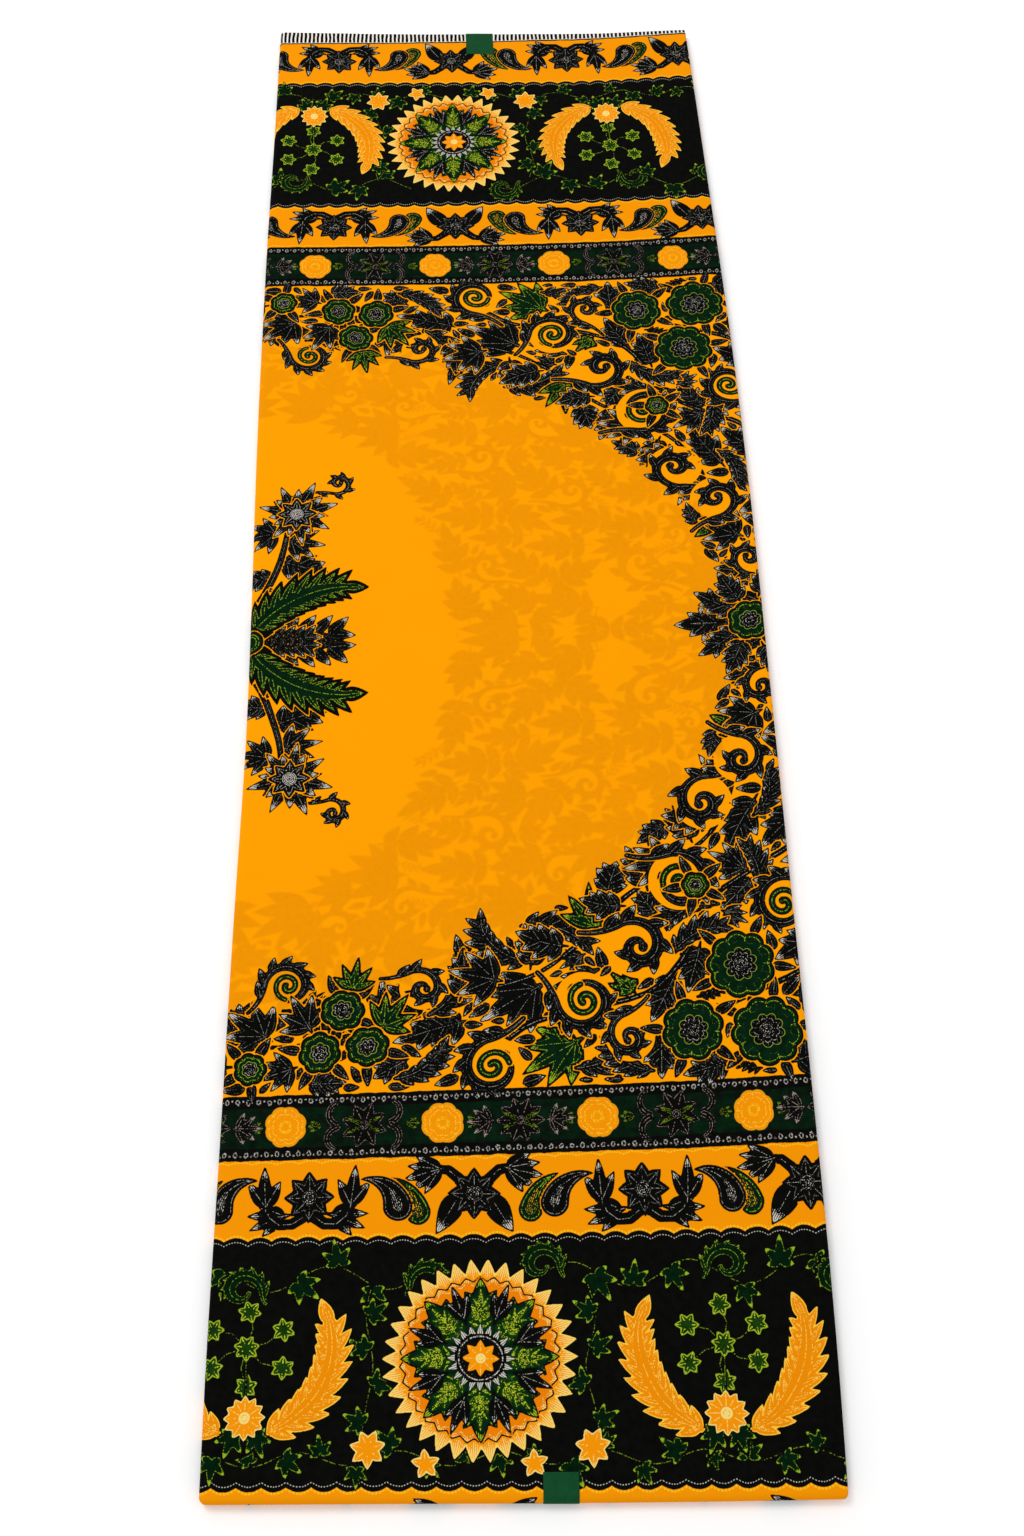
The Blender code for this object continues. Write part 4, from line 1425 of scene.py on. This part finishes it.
class WaxPrintLabels(bpy.types.PropertyGroup):
    """The two small labels."""

    near_left: size_property("Near label's left", "Left side of the near label from the middle", 0.0100)
    near_right: size_property("Near label's right", "Right side of the near label from the middle", 0.0291)
    near_depth: size_property("Near label's depth", "How far in the near label reaches", 0.0150)
    far_left: size_property("Far label's left", "Left side of the far label, to the left of the middle", 0.0150)
    far_right: size_property("Far label's right", "Right side of the far label from the middle", 0.0077)
    far_depth: size_property("Far label's depth", "How far in the far label reaches", 0.0240)
    thickness: size_property("Thickness", "How far the labels stand off the cloth", 0.00035)
    colour: colour_property("Colour", "Colour of the labels", light(14, 68, 36))


class WaxPrintStage(bpy.types.PropertyGroup):
    """The floor, the light and the camera."""

    floor_colour: colour_property("Floor", "Colour of the floor", (0.99, 0.99, 0.99))
    floor_size: size_property("Floor size", "Width of the floor", 12.0)
    light_power: number_property("Light", "Power of the soft light", 26.0, unit="POWER")
    sky: number_property("Surround", "Strength of the even light all round", 0.82)
    lens: number_property("Lens", "Focal length", 36.33, unit="CAMERA")


# ---- pieces


class WAXPRINT_OT_cloth(bpy.types.Operator):
    """Build the printed cloth that shows, in five stretches from the near edge to the far one"""

    bl_idname = "waxprint.cloth"
    bl_label = "Printed cloth"

    def execute(self, context):
        sizes = context.scene.wax_print_cloth
        a, c = even(*across_ends(), sizes.cell), even(*along_ends(), sizes.cell)
        cloth_arrays["print"] = printed(a, c)
        material = printed_cotton(sizes)
        cuts = np.linspace(0, len(c) - 1, len(CLOTH_PIECES) + 1).astype(int)
        for name, first, last in zip(CLOTH_PIECES, cuts[:-1], cuts[1:]):
            self.stretch(name, a, c[first : last + 1], slice(first, last), material, sizes)
        return {"FINISHED"}

    def stretch(self, name, a, c, rows, material, sizes):
        """One stretch of the cloth. The last one turns its cut edge down by the cloth's thickness."""
        cloth = cloth_arrays["print"]
        grid_a, grid_c = np.meshgrid(a, c)
        points = wrap(grid_a, grid_c, 0.0, sizes.crease)
        extra = 2 if name == CLOTH_PIECES[-1] else 0
        if extra:
            rim = points[-1] - [0, 0, sizes.edge]
            points = np.concatenate([points, [rim, rim - [0, 2 * sizes.edge, 0]]])

        def longer(values):
            """The values, with the last row's once more for each row of the cut edge."""
            return np.concatenate([values, np.repeat(values[-1:], extra, axis=0)])

        sheet = dict(flat=(float(a[-1] - a[0]), float(c[-1] - c[0])), rests_on=["hidden_layers_cloth"])
        quads = quads_of(*points.shape[:2])
        piece = mesh_piece(name, points, quads, material, "face_layer", "printed_cotton", **sheet)
        give(piece, "POINT", "FLOAT_VECTOR", cloth=longer(np.stack(print_place(grid_a, grid_c), axis=-1)))
        give(piece, "CORNER", "FLOAT_VECTOR", motif=longer(cloth.motif[rows]))
        give(piece, "CORNER", "FLOAT", ghost=longer(cloth.ghost[rows]))
        give(piece, "FACE", "FLOAT_COLOR", **{key: longer(values[rows]) for key, values in cloth.paint.items()})
        # The map that the print is baked on: the cloth laid out flat, with a thin margin
        flat = np.meshgrid(*(np.linspace(0.002, 0.998, count) for count in points.shape[1::-1]))
        layer = piece.data.uv_layers.new(name="OFBake")
        layer.data.foreach_set("uv", np.stack([corners(way) for way in flat], axis=-1).astype(np.float32).ravel())


class WAXPRINT_OT_layers(bpy.types.Operator):
    """Build the hidden layers: folded edges on the right, cut edges at the far end, and the flat underside"""

    bl_idname = "waxprint.layers"
    bl_label = "Hidden layers"

    def execute(self, context):
        sizes = context.scene.wax_print_layers
        path = self.path(sizes.step_along)
        profile = self.profile(sizes)
        rings = self.rings(path, profile)
        # The middle of the top lies lower than the face's deepest trough.
        rings = np.concatenate([rings[:1] * [0.97, 0.985, 0.6], rings])
        number = np.arange(rings[..., 0].size).reshape(rings.shape[:2])
        onward = np.roll(number, -1, axis=1)
        sides = np.stack([number[:-1], onward[:-1], onward[1:], number[1:]], axis=-1).reshape(-1, 4)
        made = (sides, folded_edges(context.scene.wax_print_cloth), "hidden_layers", "cloth_edges")
        piece = mesh_piece("hidden_layers_cloth", rings, *made, flat=(PANEL_WIDTH, PANEL_LENGTH))
        self.close(piece, number)
        self.colour(piece, path, profile)
        return {"FINISHED"}

    def path(self, step):
        """The places that the sides hang from, clockwise from the far right: u, v, and the way out to_x, to_y."""
        left, right = -PANEL_WIDTH / 2 + TURN_RADIUS, PANEL_WIDTH / 2 - FOLD_RADIUS
        near, far = -PANEL_LENGTH / 2 + TURN_RADIUS, PANEL_LENGTH / 2
        along, across = even(near, far, step), even(left, right, step)
        swing = np.linspace(0, np.pi / 2, 8)[1:-1]
        parts = (
            (right, along[::-1], 1, 0),
            (right, near, np.cos(swing), -np.sin(swing)),
            (across[::-1], near, 0, -1),
            (left, near, -np.sin(swing), -np.cos(swing)),
            (left, along, -1, 0),
            ([left], far, -1, 1),
            (across, far, 0, 1),
            ([right], far, 1, 1),
        )
        return np.concatenate([np.stack(np.broadcast_arrays(*part)) for part in parts], axis=1)

    def profile(self, sizes):
        """Out and height down each side, one row a level: (left, right, near, far). Each side is a polyline,
        read at as many even steps of its own length as the far side has points."""

        def rounded(out, height, radius, *turns):
            """Points on a circle round a place, at even turns in degrees from straight up."""
            turn = np.radians(np.linspace(*turns))
            return np.stack([out + radius * np.sin(turn), height + radius * np.cos(turn)], axis=1)

        layer = PACK_HEIGHT / LAYERS
        far_out = np.tile([0.0, 0.7, 1.0, 0.7], LAYERS) * sizes.ridge
        uneven = 0.25 * sizes.ridge * np.sin(np.repeat(np.arange(LAYERS) * 2.3, 4))
        far_height = np.linspace(PACK_HEIGHT - sizes.under, 0, 4 * LAYERS + 1)
        far = np.stack([np.append(far_out + uneven, 0.0), far_height], axis=1)
        tail = rounded(0, TURN_RADIUS, TURN_RADIUS, 141, 164, 5)
        shoulder = rounded(0, PACK_HEIGHT - TURN_RADIUS, TURN_RADIUS - sizes.under, 0, 135, 12)
        left = np.concatenate([shoulder, tail, [[tail[-1, 0] - 0.0002, 0.0]]])
        lips = [rounded(0, PACK_HEIGHT - FOLD_RADIUS, FOLD_RADIUS - sizes.under, 0, 135, 12)[:-1]]
        high = PACK_HEIGHT / 2 - 0.00015
        # Each lower fold on the right: its layers, and how far back it stays in mm
        for layers, back in ((4, 0.4), (2, 1.3), (1, 0.9), (1, 2.0)):
            radius = layers * layer / 2
            lips.append(rounded(FOLD_RADIUS - back * MM - radius, high - radius, radius, 14, 166, 5 + 2 * layers))
            high -= 2 * radius
        lips = np.concatenate(lips)
        lips[:, 1] = np.maximum(lips[:, 1], 0)
        lips[-1, 1] = 0
        return np.stack([self.even_read(side, len(far)) for side in (left, lips, left)] + [far], axis=1)

    def even_read(self, side, count):
        """A polyline read at even steps of its own length."""
        run = np.concatenate([[0], np.cumsum(np.hypot(*np.diff(side, axis=0).T))])
        return np.stack([np.interp(np.linspace(0, run[-1], count), run, column) for column in side.T], axis=1)

    def rings(self, path, profile):
        """The points of every ring, by level and by place round the path."""
        u, v, to_x, to_y = path
        left, right, near, far = profile.transpose(1, 2, 0)[..., None]
        side, side_height = (np.where(to_x > 0, right[axis], left[axis]) for axis in (0, 1))
        end, end_height = (np.where(to_y > 0, far[axis], near[axis]) for axis in (0, 1))
        share = to_x**2 / (to_x**2 + to_y**2)
        level = np.linspace(0, 1, len(profile))[:, None]
        uneven = 1 + 0.10 * np.sin(v / 0.021 + 9 * level) + 0.08 * np.sin(v / 0.057 - 5 * level)
        drift = np.where(to_x > 0, 1 - 0.05 * np.clip((level - 0.35) * 5, 0, 1) * (uneven - 0.9) * 8, 1)
        return to_outline(u + to_x * side * drift, v + to_y * end, share * side_height + (1 - share) * end_height)

    def close(self, piece, number):
        """Closes the top and the flat underside."""
        mesh = bmesh.new()
        mesh.from_mesh(piece.data)
        mesh.verts.ensure_lookup_table()
        for loop in (number[0][::-1], number[-1]):
            mesh.faces.new([mesh.verts[int(point)] for point in loop])
        mesh.to_mesh(piece.data)
        mesh.free()

    def colour(self, piece, path, profile):
        """The print's place at every point, and how deep it lies between two layers, which is painted as shade.
        Each fold on the right shows another part of the print. The cut edges show the selvedge's bars, out of step
        from layer to layer."""
        u, v, to_x, to_y = path
        flank = np.where(to_x > 0, profile[:, 1, 1:], profile[:, 0, 1:])
        down = (PACK_HEIGHT - np.where(to_y > 0, profile[:, 3, 1:], flank)) / MM
        fold = np.searchsorted([4.1, 6.1, 7.1, 7.6], down)
        beside = np.where(to_x > 0, np.array([168.0, -96.0, 58.0, -20.0, 131.0])[fold], -168.0) + 0.6 * down
        layer = np.floor(down * MM / (PACK_HEIGHT / LAYERS) + 0.01)
        end = u / MM + np.where(to_y > 0, 1.7 * np.sin(layer * 2.3), 0)
        a = np.where((to_x != 0) & (to_y <= 0), beside, end)
        c = v / MM + np.where(to_y > 0, 5.0, np.where(to_y < 0, -4.0 - down, 0.0))
        depth, fill = cloth_arrays["print"].read(a, c)
        out = profile[:, 1, 0]
        # How far each level of the right folds lies back from the lips below it, used as painted shade
        recess_shade = np.clip((np.maximum.accumulate(out[::-1])[::-1] - out) / 0.0012, 0, 1)
        between = np.cos(np.arange(len(profile)) * np.pi / 2) > 0.5
        # Painted shade: full on the rows between layers of the cut edges, the recess depth on the right folds,
        # none on the left
        groove = np.where(to_y > 0, between[:, None] * 1.0, np.where(to_x > 0, recess_shade[:, None], 0.0))

        def from_top(values):
            """The values, with the top ring's once more for the middle of the top."""
            return np.concatenate([values[:1], values])

        place = np.stack(print_place(a * MM, c * MM), axis=-1)
        give(piece, "POINT", "FLOAT_VECTOR", cloth=from_top(place))
        give(piece, "POINT", "FLOAT", motif=from_top(np.where(to_y > 0, -DEEP, depth)), groove=from_top(groove))
        give(piece, "POINT", "FLOAT_COLOR", fill=from_top(fill))
        give(piece, "FACE", "FLOAT", plain=np.arange(len(piece.data.polygons)) >= len(piece.data.polygons) - 2)


class WAXPRINT_OT_labels(bpy.types.Operator):
    """Build the two bare dark green labels, made from the cloth's points moved out"""

    bl_idname = "waxprint.labels"
    bl_label = "Labels"

    def execute(self, context):
        sizes = context.scene.wax_print_labels
        end = PANEL_LENGTH / 2
        near = (sizes.near_left, sizes.near_right, along_ends()[0], -end + sizes.near_depth)
        far = (-sizes.far_left, sizes.far_right, end - sizes.far_depth, end + FAR_LABEL_DOWN)
        self.label("near_label_stock", "label_near", CLOTH_PIECES[0], near, sizes)
        self.label("far_label_stock", "label_far", CLOTH_PIECES[-1], far, sizes)
        return {"FINISHED"}

    def label(self, name, node, under, ends, sizes):
        """A label over the arc lengths in ends. Its rim comes down to the cloth, and past the far edge it goes
        over the cut edges and down them."""
        left, right, start, end = ends
        a, c = (np.pad(even(*ways, LABEL_CELL), 1, "edge") for ways in ((left, right), (start, end)))
        grid_a, grid_c = np.meshgrid(a, c)
        rim = np.ones(grid_a.shape)
        rim[1:-1, 1:-1] = 0
        wave = 0.00004 * np.sin(grid_a / 0.0031) * np.sin(grid_c / 0.0043)
        lift = np.where(rim > 0, LABEL_RIM_LIFT, sizes.thickness + wave)
        points = wrap(grid_a, np.minimum(grid_c, PANEL_LENGTH / 2), lift)
        past = np.maximum(grid_c - PANEL_LENGTH / 2, 0)
        turn = np.minimum(past / LABEL_BEND, np.pi / 2)
        down = LABEL_BEND * (1 - np.cos(turn)) + np.maximum(past - LABEL_BEND * np.pi / 2, 0)
        points[..., 1] += np.where(past > 0, LABEL_BEND * np.sin(turn) + (lift + 0.0001) * np.sin(turn), 0)
        points[..., 2] -= down + lift * (1 - np.cos(turn))
        material = label_stock(name.replace("_", " "), tuple(sizes.colour))
        sheet = dict(flat=(right - left, end - start), rests_on=[under])
        piece = mesh_piece(name, points, quads_of(*grid_a.shape), material, node, node, **sheet)
        give(piece, "POINT", "FLOAT", rubbed=rim)


class WAXPRINT_OT_stage(bpy.types.Operator):
    """Set up the pale floor, the soft light and the camera at the photograph's angle"""

    bl_idname = "waxprint.stage"
    bl_label = "Stage"

    def execute(self, context):
        scene = context.scene
        sizes = scene.wax_print_stage
        half = sizes.floor_size / 2
        mesh = bpy.data.meshes.new("floor")
        spots = [(x * half, y * half, FLOOR_HEIGHT) for x, y in ((-1, -1), (1, -1), (1, 1), (-1, 1))]
        mesh.from_pydata(spots, [], [(0, 1, 2, 3)])
        mesh.materials.append(Finish("pale floor").done(tuple(sizes.floor_colour), 0.9, 0.1))
        linked("floor", mesh)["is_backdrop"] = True

        scene.world = bpy.data.worlds.new("even light")
        scene.world.use_nodes = True
        sky = scene.world.node_tree.nodes["Background"].inputs
        sky["Color"].default_value = (1, 1, 1, 1)
        sky["Strength"].default_value = sizes.sky

        lamp = bpy.data.lights.new("soft light", "AREA")
        lamp.shape = "DISK"
        lamp.size = 1.2
        lamp.energy = sizes.light_power
        soft = linked("soft light", lamp)
        soft.location = (-1.1, 0.9, 2.4)
        soft.rotation_euler = soft.location.to_track_quat("Z", "Y").to_euler()

        camera = bpy.data.cameras.new("camera")
        camera.lens = sizes.lens
        camera.sensor_width = 36
        camera.clip_start = 0.01
        scene.camera = linked("camera", camera)
        scene.camera.location = origin_shift() + CAMERA_PLACE
        scene.camera.rotation_euler = Euler(np.radians(CAMERA_TURN).tolist(), "XYZ")
        scene.view_settings.view_transform = "Standard"
        return {"FINISHED"}


class WAXPRINT_PT_panel(bpy.types.Panel):
    """The settings and the operators"""

    bl_label = "Wax print"
    bl_idname = "WAXPRINT_PT_panel"
    bl_space_type = "VIEW_3D"
    bl_region_type = "UI"
    bl_category = "Wax print"

    def draw(self, context):
        for key, operator in zip(GROUPS, OPERATORS):
            box = self.layout.box()
            settings = getattr(context.scene, key)
            for field in settings.bl_rna.properties:
                if field.identifier not in ("rna_type", "name"):
                    box.prop(settings, field.identifier)
            box.operator(operator.bl_idname)


GROUPS = {
    "wax_print_cloth": WaxPrintCloth,
    "wax_print_layers": WaxPrintLayers,
    "wax_print_labels": WaxPrintLabels,
    "wax_print_stage": WaxPrintStage,
}
OPERATORS = (WAXPRINT_OT_cloth, WAXPRINT_OT_layers, WAXPRINT_OT_labels, WAXPRINT_OT_stage)
CLASSES = (*GROUPS.values(), *OPERATORS, WAXPRINT_PT_panel)


def register():
    """Adds the classes and their settings."""
    for group in CLASSES:
        bpy.utils.register_class(group)
    for key, group in GROUPS.items():
        setattr(bpy.types.Scene, key, bpy.props.PointerProperty(type=group))


def unregister():
    """Takes the settings and the classes away again."""
    for key in GROUPS:
        delattr(bpy.types.Scene, key)
    for group in reversed(CLASSES):
        bpy.utils.unregister_class(group)


def main():
    """Builds the stage and every piece."""
    register()
    bpy.ops.waxprint.stage()
    bpy.ops.waxprint.cloth()
    bpy.ops.waxprint.layers()
    bpy.ops.waxprint.labels()
    boxes = {"cad": CAD_BOX, "model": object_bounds()}
    {key: np.array(box).tolist() for key, box in boxes.items()}


if __name__ == "__main__":
    main()
